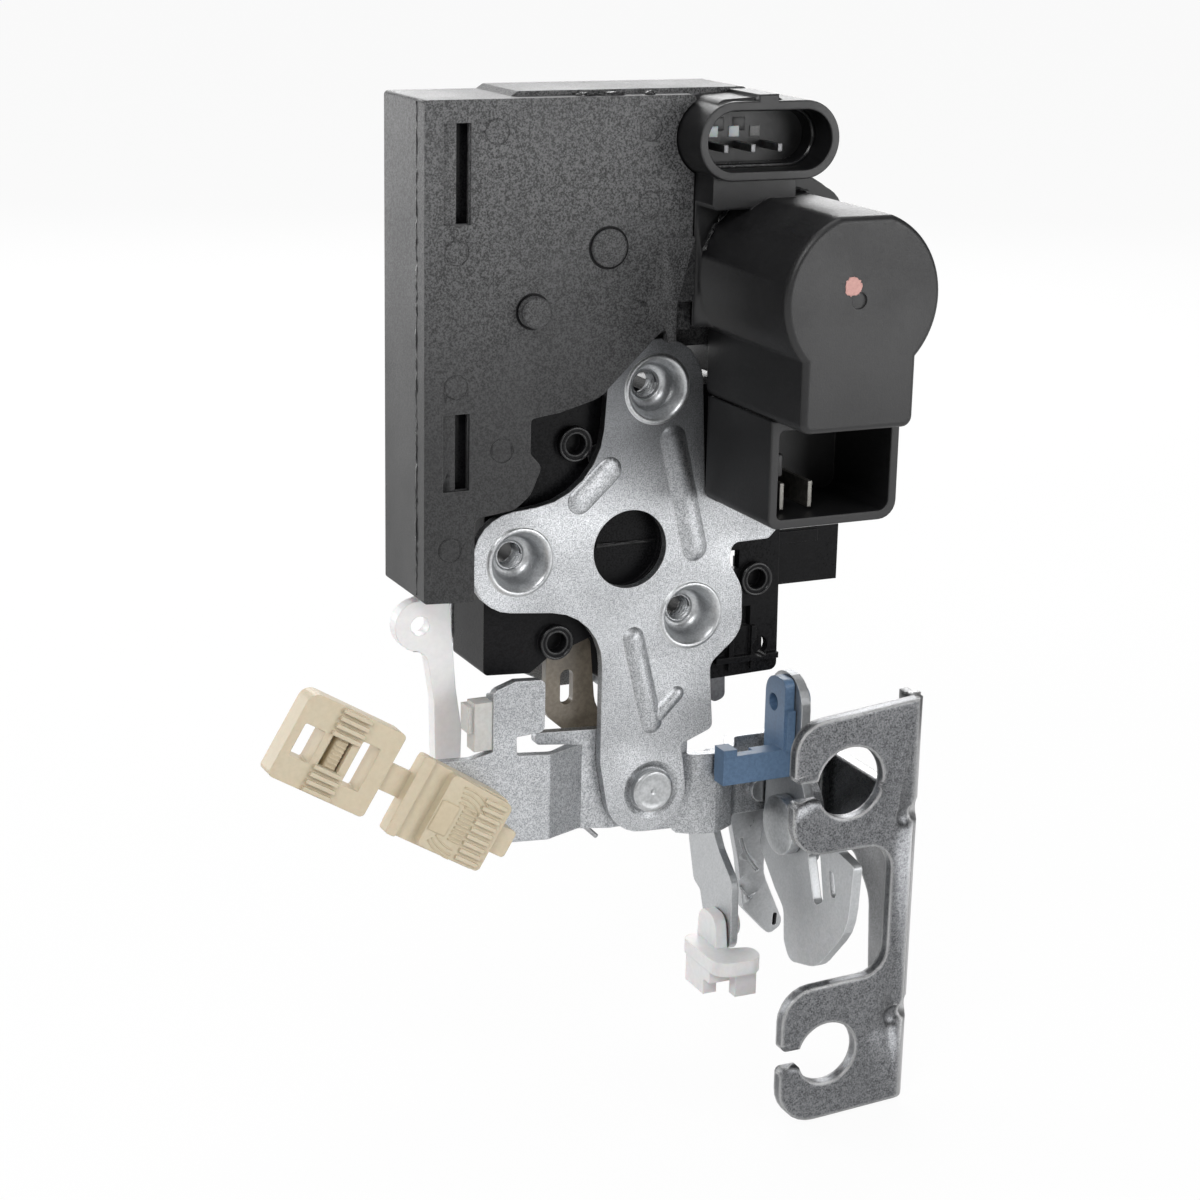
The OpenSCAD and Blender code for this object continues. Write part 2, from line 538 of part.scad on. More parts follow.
module gear_pins() color(steel) for (p = [first_axis, second_axis])
    ycyl(p, cover_y + 1.5, tub_back - 0.7, 3);

pitch = PI * gear_m;
module slider() color([0.9, 0.9, 0.86]) difference() {
  union() {
    xz(rack_y, gear_w) {
      polygon([[box_l + wall + 0.5, second_axis.y - 9], [rack_x - 1.1 * gear_m, second_axis.y - 9],
        for (k = [-2:6]) each [
          [rack_x - 1.1 * gear_m, second_axis.y + (k + 0.5) * pitch - pitch / 4 - 0.1],
          [rack_x + 0.8 * gear_m, second_axis.y + (k + 0.5) * pitch - pitch / 4 + 0.45],
          [rack_x + 0.8 * gear_m, second_axis.y + (k + 0.5) * pitch + pitch / 4 - 0.45],
          [rack_x - 1.1 * gear_m, second_axis.y + (k + 0.5) * pitch + pitch / 4 + 0.1]
        ],
        [rack_x - 1.1 * gear_m, second_axis.y + 24], [box_l + wall + 0.5, second_axis.y + 24]]);
      outline([[box_l + wall + 0.5, second_axis.y + 2, 0], [-35, second_axis.y + 2, 0],
        [-35, 11, 1], [box_l + wall + 0.5, 11, 1]]);
    }
    ycyl([-37.4, 15], rack_y, rack_y + gear_w + 2.8, 3);
  }
  block([box_l + wall + 3, rack_y - 1, 44], [-36, rack_y + 1.4, 70]);
}
module lock_arm() color([0.93, 0.94, 0.93]) difference() {
  xz(arm_y, 3) outline([[-40.2, 18.4, 2], [-35, 18.4, 2], [-35, -8, 3], [-33.6, -26, 10], [-32.4, -34, 1],
    [-32.6, -42.5, 2.4], [-37.7, -42.5, 2], [-38, -28, 6], [-39.6, -17.7, 3], [-45.9, -17.7, 4.9],
    [-45.9, -7.7, 4.9], [-40.2, -7.7, 1.4]]);
  ycyl([-40.9, -12.7], 0, 12, 3.8);
  ycyl([-37.4, 15], 0, 12, 3 + 2 * run);
}

// outside lever
module lever_step() outline([[rivet.x - 14.2, lever_y, 0.5], [-17.8, lever_front, 2],
  [-60, lever_front, 0], [-60, lever_front + sheet_t, 0], [-16.9, lever_front + sheet_t, 3],
  [rivet.x - 15.6, lever_y + sheet_t, 1.5], [rivet.x - 14.2, lever_y + sheet_t, 0]]);
module outside_lever() color(zinc) difference() {
  union() {
    xz(lever_y, sheet_t) outline([[-18.4, -35.8, 1], [9, -37.6, 3], [13.6, -46, 8], [13.6, -57.6, 8],
      [-2, -57.8, 6], [-9.6, -56.8, 0], [-9.6, -39.2, 1], [-18.4, -38.2, 1]]);
    intersection() {
      plan(-70, -20) lever_step();
      xz(-10, 20) {
        outline([[-4, -40, 0], [-4, -57.2, 0], [-16, -56, 8], [-31, -55, 8], [-38, -52.2, 4],
          [clip_axis.x - 7.6, clip_axis.y - 7, 6.4], [clip_axis.x - 7.6, clip_axis.y + 7.4, 6.4],
          [-34, -37.4, 4], [-29.6, -36.4, 0.3], [-29.6, -24.4, 1.6], [-24.9, -22.8, 0.6],
              [-18.9, -23.2, 1.2],
          [-18.9, -33.6, 1.2], [-24.8, -34, 0.3], [-24.6, -37.8, 0.6], [-8, -39.4, 0]]);
      }
    }
    yz(-29.6, sheet_t) outline([[lever_front, -24.6, 0], [0.4, -25.6, 1], [1.6, -37, 1],
        [lever_front, -37, 0]]);
  }
  ycyl(rivet, 0, 6, rivet_d + 2 * run);
  ycyl(clip_axis, -10, 6, clip_hole_d + 2 * run);
}
module lever_bushing() color([0.92, 0.92, 0.9]) {
  block([-33.4, -3, -36], [-29.6, 0.6, -26.4]);
  block([-34.4, -2.4, -32.4], [-30, 1.4, -27.2]);
}
// straight length of spring wire between two points, round at its end
module wire(a, b, y, d) translate([a.x, y, a.y]) {
  rotate([0, 90 - atan2(b.y - a.y, b.x - a.x), 0]) cylinder(h = norm(b - a), d = d);
  translate([b.x - a.x, 0, b.y - a.y]) sphere(d = 1.06 * d);
}
module lever_spring() color(steel) {
  coil(rivet, spring_y, 2, 9.6, 1.1, 30, 8, 250, 1);
  leg = [[4.3, -54.6], [-2.9, -62.3], [-12.2, -52.6]];
  for (k = [0:1]) wire(leg[k], leg[k + 1], spring_y + 0.55, 1);
}

// cream rod clip, hinged open; drawn along its own axis u and across it v
clip_turn = -31;
module on_clip(y, t) xz(y, t) translate(clip_axis) rotate(clip_turn) children();
clip_y = -11;
clip_t = abs(clip_y - lever_front) - gap;
module rod_clip() color([0.88, 0.82, 0.68]) difference() {
  union() {
    on_clip(clip_y + 2, clip_t - 2) outline([[-8.4, 6.6, 1], [11, 6, 1.4], [11, -9, 1], [-8.4, -9, 1]]);
    on_clip(clip_y, 3) outline([[-3.4, 6.4, 1], [11, 5.6, 1.4], [11, -8.6, 1], [-3.4, -8.6, 1]]);
    on_clip(clip_y + 1, 3.2) outline([[-10, 7, 0.6], [-7.6, 7, 0.6], [-7.6, -9.2, 0.6], [-10, -9.2, 0.6]]);
    on_clip(clip_y + 1.4, 4.4) outline([[10, 1.2, 0.4], [15.2, 1.2, 0.8], [15.2, -4.4, 0.8],
        [10, -4.4, 0.4]]);
    on_clip(clip_y + 3, 1.6) outline([[-17, 2.8, 0], [-8, 2.8, 0], [-8, -2.6, 0], [-17, -2.6, 0]]);
    on_clip(clip_y + 2, 5) outline([[-36.2, 8.8, 2.4], [-15, 8.8, 1], [-15, -8.6, 1], [-36.2, -8.6, 1]]);
    for (v = [-8:1.5:5.2]) on_clip(clip_y - 0.5, 1) translate([5, v]) square([5, 0.8]);
    for (s = [-1, 1]) for (k = [0:3]) on_clip(clip_y + 1.2, 1)
        translate([-29, s * 5.8 - 2.6 + k * 1.5]) square([6.2, 0.8]);
    ycyl(clip_axis, lever_front - 1, lever_front + sheet_t + 0.3, clip_hole_d);
    ycyl(clip_axis, lever_front + sheet_t + 0.25, lever_front + sheet_t + 1.4, clip_hole_d + 1.4);
    ycone(clip_axis, lever_front + sheet_t + 1.3, lever_front + sheet_t + 3, clip_hole_d + 1.4,
        clip_hole_d - 2);
  }
  on_clip(clip_y, 12) outline([[-34.4, 3, 0.4], [-30, 3, 0.4], [-30, -3.6, 0.4], [-34.4, -3.6, 0.4]]);
  on_clip(clip_y, 12) outline([[-22.4, 4.4, 0.4], [-18.4, 4.4, 0.4], [-18.4, -4.6, 0.4],
      [-22.4, -4.6, 0.4]]);
  on_clip(clip_y, 4.4) outline([[-28.4, 3, 0], [-24, 3, 0], [-24, -3, 0], [-28.4, -3, 0]]);
  on_clip(clip_y + 3, 12) translate([-26.2, 0]) square([1, 1], center = true);
}

// lock link behind the housing's arch
module lock_link() color([0.72, 0.64, 0.5]) difference() {
  xz(link_y, link_t) outline([[-14.2, -18.6, 2], [-5, -18.6, 2], [-3.6, -34, 6], [11.6, -45, 6],
    [12, -56, 6], [0.4, -56.6, 6], [-3, -44, 8], [-14.4, -34, 4]]);
  xz(0, 20) {
    for (z = [-26.6, -31]) translate([-9.8, z]) circle(d = 2.8);
    translate([-11.2, -31]) square([2.8, 4.4]);
  }
  ycyl(rivet, 0, 20, rivet_d + 2 * run);
}

// hook lever with the blue clip
hook_pts = [
  [hook_hole.x - 7.6, hook_hole.y + 6.2, 6.4], [hook_hole.x + 5.8, hook_hole.y + 6.2, 6],
  [7.4, -50, 8], [8, -62, 6], [9.4, -69.6, 2], [2.2, -76.6, 3], [-1.8, -79.6, 3], [-2.4, -86.4, 3],
  [-5, -90, 3], [-16, -87, 10], [-27.4, -74.5, 14], [-28.6, -60.5, 1], [-18, -58.9, 3],
      [-9, -54, 6], [-5.6, -48, 10]
];
module hook_lever() color(steel) difference() {
  yz(hook_x, sheet_t) outline(hook_pts);
  xcyl(hook_axis, hook_x - 1, hook_x + 4, pin_d + 2 * run);
  xcyl(hook_hole, hook_x - 1, hook_x + 4, clip_hole_d + 2 * run);
  yz(hook_x - 1, 4) outline([[-10.6, -64.6, 1], [-15.4, -62, 1], [-17.6, -72, 1.4], [-14, -74.4, 1.4]]);
  yz(hook_x - 1, 4) outline([[-19, -64.4, 0.6], [-21, -64.6, 0.6], [-22.4, -69.4, 0.8], [-20.4, -70, 0.8]]);
}
module hook_pin() color(steel) {
  xcyl(hook_axis, hook_x - 2.7, hook_x - 0.2, pin_head_d);
  xcyl(hook_axis, hook_x - 0.4, flange_x - 0.1, pin_d);
  xcyl(hook_axis, flange_x - 0.2, flange_x + sheet_t, pin_d - 1);
  xcyl(hook_axis, flange_x + sheet_t, flange_x + sheet_t + 1.2, pin_d + 1);
}
foot_z = hook_hole.y - 14.8;
module blue_clip() color([0.33, 0.47, 0.62]) difference() {
  union() {
    yz(hook_x - 2.4, 2.2) outline([[-3, hook_hole.y + 5.6, 1.6], [5, hook_hole.y + 5.6, 4],
      [5, foot_z + 2, 1], [-3, foot_z + 1, 0]]);
    block([20.4, -3, foot_z], [hook_x - 0.2, 0.8, foot_z + 6]);
    block([20.4, -3, foot_z + 1], [23.4, 1, foot_z + 7.4]);
    block([hook_x - 1.9, -3.8, hook_hole.y - 9], [hook_x - 0.2, -2.9, hook_hole.y - 0.6]);
    xcyl(hook_hole, hook_x - 1, hook_x + sheet_t + 0.3, clip_hole_d);
    xcyl(hook_hole, hook_x + sheet_t + 0.25, hook_x + sheet_t + 1.6, clip_hole_d + 1.4);
    xcyl(hook_hole, hook_x + sheet_t + 1.5, hook_x + sheet_t + 2.6, clip_hole_d - 0.4);
  }
  xcyl(hook_hole, hook_x - 5, hook_x + 8, 3.6);
  block([23.4, -0.8, foot_z - 1], [28, 3, foot_z + 9]);
}

// lock lever, behind the carrier
module lock_lever() color(steel) difference() {
  xz(lock_y, sheet_t) outline([[30.8, -51.8, 4.6], [41.2, -51.8, 4.6], [40, -66, 4],
      [39.6, -78, 8], [45, -90.4, 2],
    [41.5, -92.4, 1.5], [35, -85.4, 2], [33.4, -74, 6], [31, -63, 4]]);
  ycyl(lock_axis, 8, 20, 5 + 2 * run);
  xz(lock_y - 1, 4) outline([[42.4, -87.4, 0.4], [43.4, -87.8, 0.4], [43.2, -90.6, 0.5],
      [42.2, -90.4, 0.5]]);
}
module lock_pin() color(steel) {
  ycyl(lock_axis, sheet_y - 1.2, sheet_y - 0.1, 5.4);
  ycyl(lock_axis, sheet_y - 0.2, sheet_y + sheet_t + 0.5, 4);
  ycyl(lock_axis, sheet_y + sheet_t + 0.1, lock_y - 0.3, 8);
  ycyl(lock_axis, sheet_y + sheet_t + 0.02, lock_y + sheet_t + 0.3, 5);
  ycyl(lock_axis, lock_y + sheet_t + 0.3, lock_y + sheet_t + 1.5, 8);
}

// strip lever with the white clip
module strip_lever() color(steel) difference() {
  yz(strip_x, strip_t) outline([[18.4, -51, 4.4], [8.4, -51, 4.4], [8.2, -62.4, 3],
      [4.8, -67.2, 4], [-1.6, -72.2, 4],
    [-2, -87.4, 3], [8.6, -87.6, 3], [12.2, -78.8, 1], [15.2, -77.6, 2], [18, -69, 3]]);
  xcyl(strip_axis, strip_x - 1, strip_x + 4, 4 + 2 * run);
  xcyl(strip_hole, strip_x - 1, strip_x + 4, 4 + 2 * run);
}
module strip_pin() color(steel) {
  xcyl(strip_axis, strip_x - 1.4, strip_x - 0.2, 7);
  xcyl(strip_axis, strip_x - 0.3, strip_x + 4.5, 4);
  difference() {
    xcyl(strip_axis, strip_x + 4.42, strip_x + 5.6, 6);
    block([strip_x + 4, 9, -61], [strip_x + 6, sheet_y + sheet_t + 0.1, -51]);
  }
}
module white_clip() color([0.94, 0.95, 0.95]) {
  xcyl(strip_hole, strip_x - 1, strip_x + strip_t + 0.3, 4);
  xcyl(strip_hole, strip_x + strip_t + 0.25, strip_x + strip_t + 1.8, 5.6);
  yz(strip_x - 2.8, 2.5) outline([[-0.2, -79.8, 3], [6.8, -79.8, 3], [7.6, -88, 1], [-1.4, -88, 1]]);
  plan(-89.4, -86.4) outline([[strip_x - 6.4, 7.6, 2], [strip_x - 0.3, 7.6, 0], [strip_x - 0.3, -1.8, 0],
    [strip_x + 4.4, -3, 2], [strip_x + 4.4, -9.4, 3.6], [strip_x - 6.4, -8.6, 3.6]]);
  block([strip_x - 6, -2, -95.5], [strip_x - 3, 6, -89.2]);
  block([strip_x - 1.4, -7.2, -94.8], [strip_x + 3.4, -4.6, -89.2]);
  block([strip_x - 6, -4.6, -92.2], [strip_x - 1, -1.8, -89.2]);
}

// cable bracket
bracket_pts = [
  [bracket_r, -29, 1], [bracket_r, -115, 1.5], [bracket_l - 0.6, -116.6, 7.5],
  [bracket_l - 0.6, seat_lower.y - seat_mouth / 2, 1.2], [seat_lower.x, seat_lower.y - seat_mouth / 2, 0],
  [seat_lower.x, seat_lower.y + seat_mouth / 2, 0], [bracket_l - 0.6, seat_lower.y + seat_mouth / 2, 1.2],
  [bracket_l - 0.6, -87.6, 7], [bracket_r - 6.4, -86.6, 5.5], [bracket_r - 6.4, -58.8, 5.5],
  [bracket_l, -58.8, 6.5], [bracket_l, seat_upper.y - seat_mouth / 2 - 0.8, 1.2],
  [seat_upper.x, seat_upper.y - seat_mouth / 2 - 0.8, 0],
  [seat_upper.x, seat_upper.y + seat_mouth / 2 - 0.8, 0],
      [bracket_l, seat_upper.y + seat_mouth / 2 - 0.8, 1.2],
  [bracket_l, -32, 6.5]
];
module bracket_bend() outline([[bracket_l - 10, bracket_y, 0], [bracket_r, bracket_y, 3],
    [bracket_r, 30, 0],
  [bracket_r - bracket_t, 30, 0], [bracket_r - bracket_t, bracket_y + bracket_t, 0.5],
  [bracket_l - 10, bracket_y + bracket_t, 0]]);
// stiffening dimples pressed into the bend
gusset_z = [-52.8, -95.4];
web_y = sheet_y + sheet_t;
module cable_bracket() color(zinc) difference() {
  union() {
    intersection() {
      plan(-120, -20) bracket_bend();
      union() {
        xz(bracket_y - 1, 8) outline(bracket_pts);
        yz(bracket_r - 8, 12) outline([[bracket_y + 3, -29, 0], [-18.6, -29, 2], [-12, -47, 4],
            [-11.4, -50.6, 2],
          [web_y + bracket_t, -50.6, 0], [web_y + bracket_t, -69, 0], [-3, -69, 3], [-9.6, -76, 6],
          [-11, -96, 4], [-16.5, -99, 3], [-17, -114.8, 1], [bracket_y + 3, -114.8, 0]]);
      }
    }
    block([42, web_y, -69], [bracket_r, web_y + bracket_t, -50.6]);
    for (z = gusset_z) intersection() {
      translate([bracket_r, bracket_y, z]) sphere(4.8);
      block([bracket_r - 8, bracket_y + 1, z - 8], [bracket_r - 1, bracket_y + 8, z + 8]);
    }
  }
  ycyl(seat_upper, bracket_y - 2, bracket_y + 6, seat_upper_d);
  ycyl(seat_lower, bracket_y - 2, bracket_y + 6, seat_lower_d);
  for (z = [-55, -65]) ycyl([bracket_r - 8.6, z], web_y - 1, web_y + 4, 4);
  for (z = gusset_z) translate([bracket_r, bracket_y, z]) sphere(2.8);
}
module bracket_rivets() color(steel) for (z = [-55, -65]) {
  ycyl([bracket_r - 8.6, z], sheet_y - 1.4, sheet_y, 6.4);
  ycyl([bracket_r - 8.6, z], sheet_y - 0.2, web_y + bracket_t + 0.2, 4);
  ycyl([bracket_r - 8.6, z], web_y + bracket_t, web_y + bracket_t + 1.4, 6.4);
}

back_plate();
frame_plate();
latch_housing();
lower_rivet();
fork_bolt();
fork_cover();
fork_pin();
fork_spring();
pawl();
pawl_lever();
pawl_pin();
pawl_spring();
bumper();
case_tub();
case_cover();
motor_housing();
motor();
motor_cap();
motor_pinion();
first_gear();
second_gear();
gear_pins();
slider();
lock_arm();
upper_terminals();
lower_terminals();
outside_lever();
lever_bushing();
lever_spring();
rod_clip();
lock_link();
hook_lever();
hook_pin();
blue_clip();
lock_lever();
lock_pin();
strip_lever();
strip_pin();
white_clip();
cable_bracket();
bracket_rivets();
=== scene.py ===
import math

import bpy
from mathutils import Matrix, Vector


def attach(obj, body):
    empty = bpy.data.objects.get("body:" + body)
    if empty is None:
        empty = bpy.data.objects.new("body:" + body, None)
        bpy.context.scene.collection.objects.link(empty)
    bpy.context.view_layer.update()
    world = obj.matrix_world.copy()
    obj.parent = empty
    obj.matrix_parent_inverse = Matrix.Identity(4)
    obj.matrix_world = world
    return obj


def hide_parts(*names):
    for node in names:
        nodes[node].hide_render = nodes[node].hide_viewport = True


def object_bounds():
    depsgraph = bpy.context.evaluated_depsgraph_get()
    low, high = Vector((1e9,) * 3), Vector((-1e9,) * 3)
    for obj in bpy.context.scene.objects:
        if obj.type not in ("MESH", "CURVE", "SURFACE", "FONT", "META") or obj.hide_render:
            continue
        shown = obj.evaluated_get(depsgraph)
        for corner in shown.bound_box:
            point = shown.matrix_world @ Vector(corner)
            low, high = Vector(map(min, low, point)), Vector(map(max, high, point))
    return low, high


MM = 0.001

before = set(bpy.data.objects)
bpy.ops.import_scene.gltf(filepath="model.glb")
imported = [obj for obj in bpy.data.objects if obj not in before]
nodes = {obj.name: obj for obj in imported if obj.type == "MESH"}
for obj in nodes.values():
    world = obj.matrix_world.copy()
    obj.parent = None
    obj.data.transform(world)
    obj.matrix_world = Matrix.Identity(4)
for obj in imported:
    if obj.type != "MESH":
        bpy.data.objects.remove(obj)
cad_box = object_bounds()
scene = bpy.context.scene


def mm(*v):
    return Vector([a * MM for a in v])


# camera: where the photograph was taken from
AZ, EL, ROLL = math.radians(25.29), math.radians(16.18), math.radians(-1.19)
EYE = mm(-210.6, -432.6, 129.3)
LENS, SENSOR = 77.7, 36
NEAR, FAR = 0.02, 20


def look():
    """The camera's place and turn, from its bearing, its angle downwards and its roll."""
    ahead = Vector((math.sin(AZ) * math.cos(EL), math.cos(AZ) * math.cos(EL), -math.sin(EL)))
    side = Vector((math.cos(AZ), -math.sin(AZ), 0))
    below = ahead.cross(side)
    right = math.cos(ROLL) * side + math.sin(ROLL) * below
    down = -math.sin(ROLL) * side + math.cos(ROLL) * below
    turn = Matrix((right, -down, -ahead)).transposed().to_4x4()
    return Matrix.Translation(EYE) @ turn


def camera():
    cam = bpy.data.cameras.new("camera")
    cam.sensor_fit = "HORIZONTAL"
    cam.sensor_width = SENSOR
    cam.lens = LENS
    cam.clip_start, cam.clip_end = NEAR, FAR
    view = bpy.data.objects.new("camera", cam)
    view.matrix_world = look()
    scene.collection.objects.link(view)
    scene.camera = view


camera()
scene.view_settings.view_transform = "Standard"

# lamps: where each one stands, what it aims at, its width and height, and its power
LAMPS = {
    "key": ((-0.75, -0.85, 0.95), (0, 0, 0), (0.6, 0.6), 9),
    "fill": ((0.66, -0.98, 0.08), (0, 0, 0.02), (0.7, 0.8), 8),
    "top": ((0.05, 0.1, 1.2), (0, 0, 0), (0.9, 0.7), 5),
    "left": ((-0.72, 0.85, 0.12), (0, 0, 0), (0.8, 1.1), 9),
    "back": ((0.42, 1.02, 0.5), (0, 0, 0.06), (0.9, 0.6), 8),
}


def lamp(name, stand, aim, size, power):
    data = bpy.data.lights.new(name, "AREA")
    data.shape = "RECTANGLE"
    data.size, data.size_y = size
    data.energy = power
    o = bpy.data.objects.new(name, data)
    o.location = Vector(stand)
    o.rotation_euler = (Vector(aim) - Vector(stand)).to_track_quat("-Z", "Y").to_euler()
    scene.collection.objects.link(o)


for name, settings in LAMPS.items():
    lamp(name, *settings)


# material tools
def put(tree, kind, sets=(), **sockets):
    """A new node. Its own settings are in sets and its inputs in sockets, each a value or a link.
    An input goes by its name, or by its place as i0, i1 and so on."""
    node = tree.nodes.new(kind)
    for key, v in dict(sets).items():
        setattr(node, key, v)
    for key, v in sockets.items():
        numbered = key[0] == "i" and key[1:].isdigit()
        socket = node.inputs[int(key[1:]) if numbered else key.replace("_", " ")]
        if isinstance(v, bpy.types.NodeSocket):
            tree.links.new(v, socket)
        else:
            socket.default_value = v
    return node


def maths(tree, op, a, b=0.0):
    return put(tree, "ShaderNodeMath", {"operation": op}, i0=a, i1=b).outputs[0]


def band(tree, value, low, high, out_low=0.0, out_high=1.0):
    """value from low to high, mapped smoothly to out_low to out_high and clamped there."""
    return put(tree, "ShaderNodeMapRange", {"interpolation_type": "SMOOTHSTEP"}, Value=value, From_Min=low,
               From_Max=high, To_Min=out_low, To_Max=out_high).outputs[0]


def place(tree, scale=(1, 1, 1), turn=(0, 0, 0), move=(0, 0, 0)):
    """Object coordinates, scaled, turned and moved."""
    coordinates = tree.nodes.new("ShaderNodeTexCoord").outputs["Object"]
    return put(tree, "ShaderNodeMapping", Vector=coordinates, Scale=scale, Rotation=turn,
               Location=move).outputs[0]


def noise(tree, size, detail, roughness=0.5, **where):
    """Noise from 0 to 1 on Object coordinates, which where may scale, turn or move."""
    return put(tree, "ShaderNodeTexNoise", Vector=place(tree, **where), Scale=size, Detail=detail,
               Roughness=roughness).outputs[0]


def along(tree, axis, low, high, amount):
    """0 at low mm along one axis of the piece, rising smoothly to amount at high mm."""
    parts = put(tree, "ShaderNodeSeparateXYZ", Vector=place(tree))
    return band(tree, parts.outputs[axis], low * MM, high * MM, 0.0, amount)


def blend_colour(tree, share, a, b):
    """Colour a, turning into colour b where the mask share goes from 0 to 1."""
    node = tree.nodes.new("ShaderNodeMix")
    node.data_type = "RGBA"
    tree.links.new(share, node.inputs[0])
    for socket, colour in ((node.inputs[6], a), (node.inputs[7], b)):
        if isinstance(colour, bpy.types.NodeSocket):
            tree.links.new(colour, socket)
        else:
            socket.default_value = (*colour, 1)
    return node.outputs[2]


def bump(tree, height, depth, normal):
    """The normal, bent by a height that is depth metres deep."""
    return put(tree, "ShaderNodeBump", Strength=1.0, Distance=depth, Height=height, Normal=normal).outputs[0]


def group(name, ins, outs):
    """An empty node group, with its input and output nodes."""
    g = bpy.data.node_groups.new(name, "ShaderNodeTree")
    for label, value in ins:
        socket = g.interface.new_socket(label, in_out="INPUT", socket_type="NodeSocketFloat")
        socket.default_value = value
    for label in outs:
        kind = "NodeSocketVector" if label == "Normal" else "NodeSocketFloat"
        g.interface.new_socket(label, in_out="OUTPUT", socket_type=kind)
    return g, g.nodes.new("NodeGroupInput"), g.nodes.new("NodeGroupOutput")


def grain_group():
    """Spark grain of moulded plastic, or speckle of galvanised steel, from noise of two sizes."""
    g, i, o = group("fine grain", [("Scale", 2400), ("Contrast", 0.2)], ["Speck", "Height"])
    fine = noise(g, i.outputs["Scale"], 2.0, 0.6)
    wide = noise(g, maths(g, "MULTIPLY", i.outputs["Scale"], 0.31), 2.0, 0.6)
    mixed = maths(g, "ADD", maths(g, "MULTIPLY", fine, 0.75), maths(g, "MULTIPLY", wide, 0.25))
    low = maths(g, "SUBTRACT", 0.5, i.outputs["Contrast"])
    high = maths(g, "ADD", 0.5, i.outputs["Contrast"])
    g.links.new(band(g, mixed, low, high), o.inputs["Speck"])
    g.links.new(fine, o.inputs["Height"])
    return g


def edge_group():
    """Rounded edges: a normal bent over each edge, and a mask that is 1 on the edge."""
    g, i, o = group("soft edges", [("Radius", 0.0003)], ["Edge", "Normal"])
    bevel = put(g, "ShaderNodeBevel", {"samples": 4}, Radius=i.outputs["Radius"]).outputs[0]
    flat = g.nodes.new("ShaderNodeNewGeometry").outputs["Normal"]
    dot = put(g, "ShaderNodeVectorMath", {"operation": "DOT_PRODUCT"}, i0=bevel, i1=flat)
    g.links.new(band(g, dot.outputs["Value"], 0.99, 0.8), o.inputs["Edge"])
    g.links.new(bevel, o.inputs["Normal"])
    return g


def scratch_group():
    """Thin straight scratches in three directions, broken up by noise."""
    g, i, o = group("scratches", [("Scale", 160), ("Amount", 0.5)], ["Scratch"])
    fine = maths(g, "MULTIPLY", i.outputs["Scale"], 9)
    total = None
    for k, turn in enumerate(((0.3, 0.9, 0.2), (1.1, -0.4, 0.8), (-0.5, 2.1, -0.9))):
        wave = noise(g, fine, 1.0, scale=(1, 1, 0.06), turn=turn, move=(k * 0.37, k * 0.11, 0))
        line = band(g, maths(g, "ABSOLUTE", maths(g, "SUBTRACT", wave, 0.5)), 0.012, 0.0)
        spread = noise(g, i.outputs["Scale"], 2.0, move=(k * 0.9, 0, 0))
        line = maths(g, "MULTIPLY", line, band(g, spread, 0.55, 0.7))
        total = line if total is None else maths(g, "MAXIMUM", total, line)
    g.links.new(maths(g, "MULTIPLY", total, i.outputs["Amount"]), o.inputs["Scratch"])
    return g


def pits_group():
    """Small dark pits and dirt specks, scattered unevenly."""
    g, i, o = group("pits", [("Scale", 420), ("Amount", 0.5)], ["Pit"])
    spot = noise(g, i.outputs["Scale"], 3.0, 0.65)
    region = noise(g, 60.0, 2.0, move=(0.4, 0.2, 0.7))
    edge = maths(g, "SUBTRACT", 0.77, maths(g, "MULTIPLY", band(g, region, 0.42, 0.62), 0.06))
    hit = band(g, spot, edge, maths(g, "ADD", edge, 0.04))
    g.links.new(maths(g, "MULTIPLY", hit, i.outputs["Amount"]), o.inputs["Pit"])
    return g


GRAIN, EDGE, SCRATCH, PITS = grain_group(), edge_group(), scratch_group(), pits_group()


def use(tree, g, **values):
    """A node group placed in a material with its own values; gives its outputs."""
    node = tree.nodes.new("ShaderNodeGroup")
    node.node_tree = g
    for key, v in values.items():
        node.inputs[key].default_value = v
    return node.outputs


def material(name, metallic=0.0, **sockets):
    m = bpy.data.materials.new(name)
    m.use_nodes = True
    tree = m.node_tree
    tree.nodes.clear()
    skin = put(tree, "ShaderNodeBsdfPrincipled", Metallic=metallic, **sockets)
    out = tree.nodes.new("ShaderNodeOutputMaterial")
    tree.links.new(skin.outputs[0], out.inputs[0])
    return m, tree, skin


MOULDED_EDGE = 0.0003


def moulded(name, dark, light, rough=0.42, grain=2400, contrast=0.16, depth=0.00003, worn=(0.2, 0.2, 0.2),
            wear=0.35, scratches=0.1, painted_shade=None, **sockets):
    """Moulded plastic: fine grain, paler where it is worn along its edges, and faint handling marks.
    An optional painted shade darkens it along an axis: the axis, the mm where that starts and ends, and how
    much."""
    m, t, skin = material(name, **sockets)
    grit = use(t, GRAIN, Scale=grain, Contrast=contrast)
    edges = use(t, EDGE, Radius=MOULDED_EDGE)
    marks = use(t, SCRATCH, Scale=110, Amount=scratches)["Scratch"]
    cloud = noise(t, 38.0, 4.0, 0.55)
    base = blend_colour(t, grit["Speck"], dark, light)
    base = blend_colour(t, maths(t, "MULTIPLY", band(t, cloud, 0.4, 0.7), 0.25), base, light)
    if painted_shade:
        base = blend_colour(t, along(t, *painted_shade), base, dark)
    rub = maths(t, "MULTIPLY", edges["Edge"], band(t, cloud, 0.35, 0.6, wear * 0.4, wear))
    base = blend_colour(t, maths(t, "MAXIMUM", rub, marks), base, worn)
    t.links.new(base, skin.inputs["Base Color"])
    mottle = band(t, cloud, 0.3, 0.7, rough - 0.06, rough + 0.06)
    t.links.new(maths(t, "ADD", maths(t, "MULTIPLY", grit["Speck"], 0.1), mottle), skin.inputs["Roughness"])
    t.links.new(bump(t, grit["Height"], depth, edges["Normal"]), skin.inputs["Normal"])
    return m


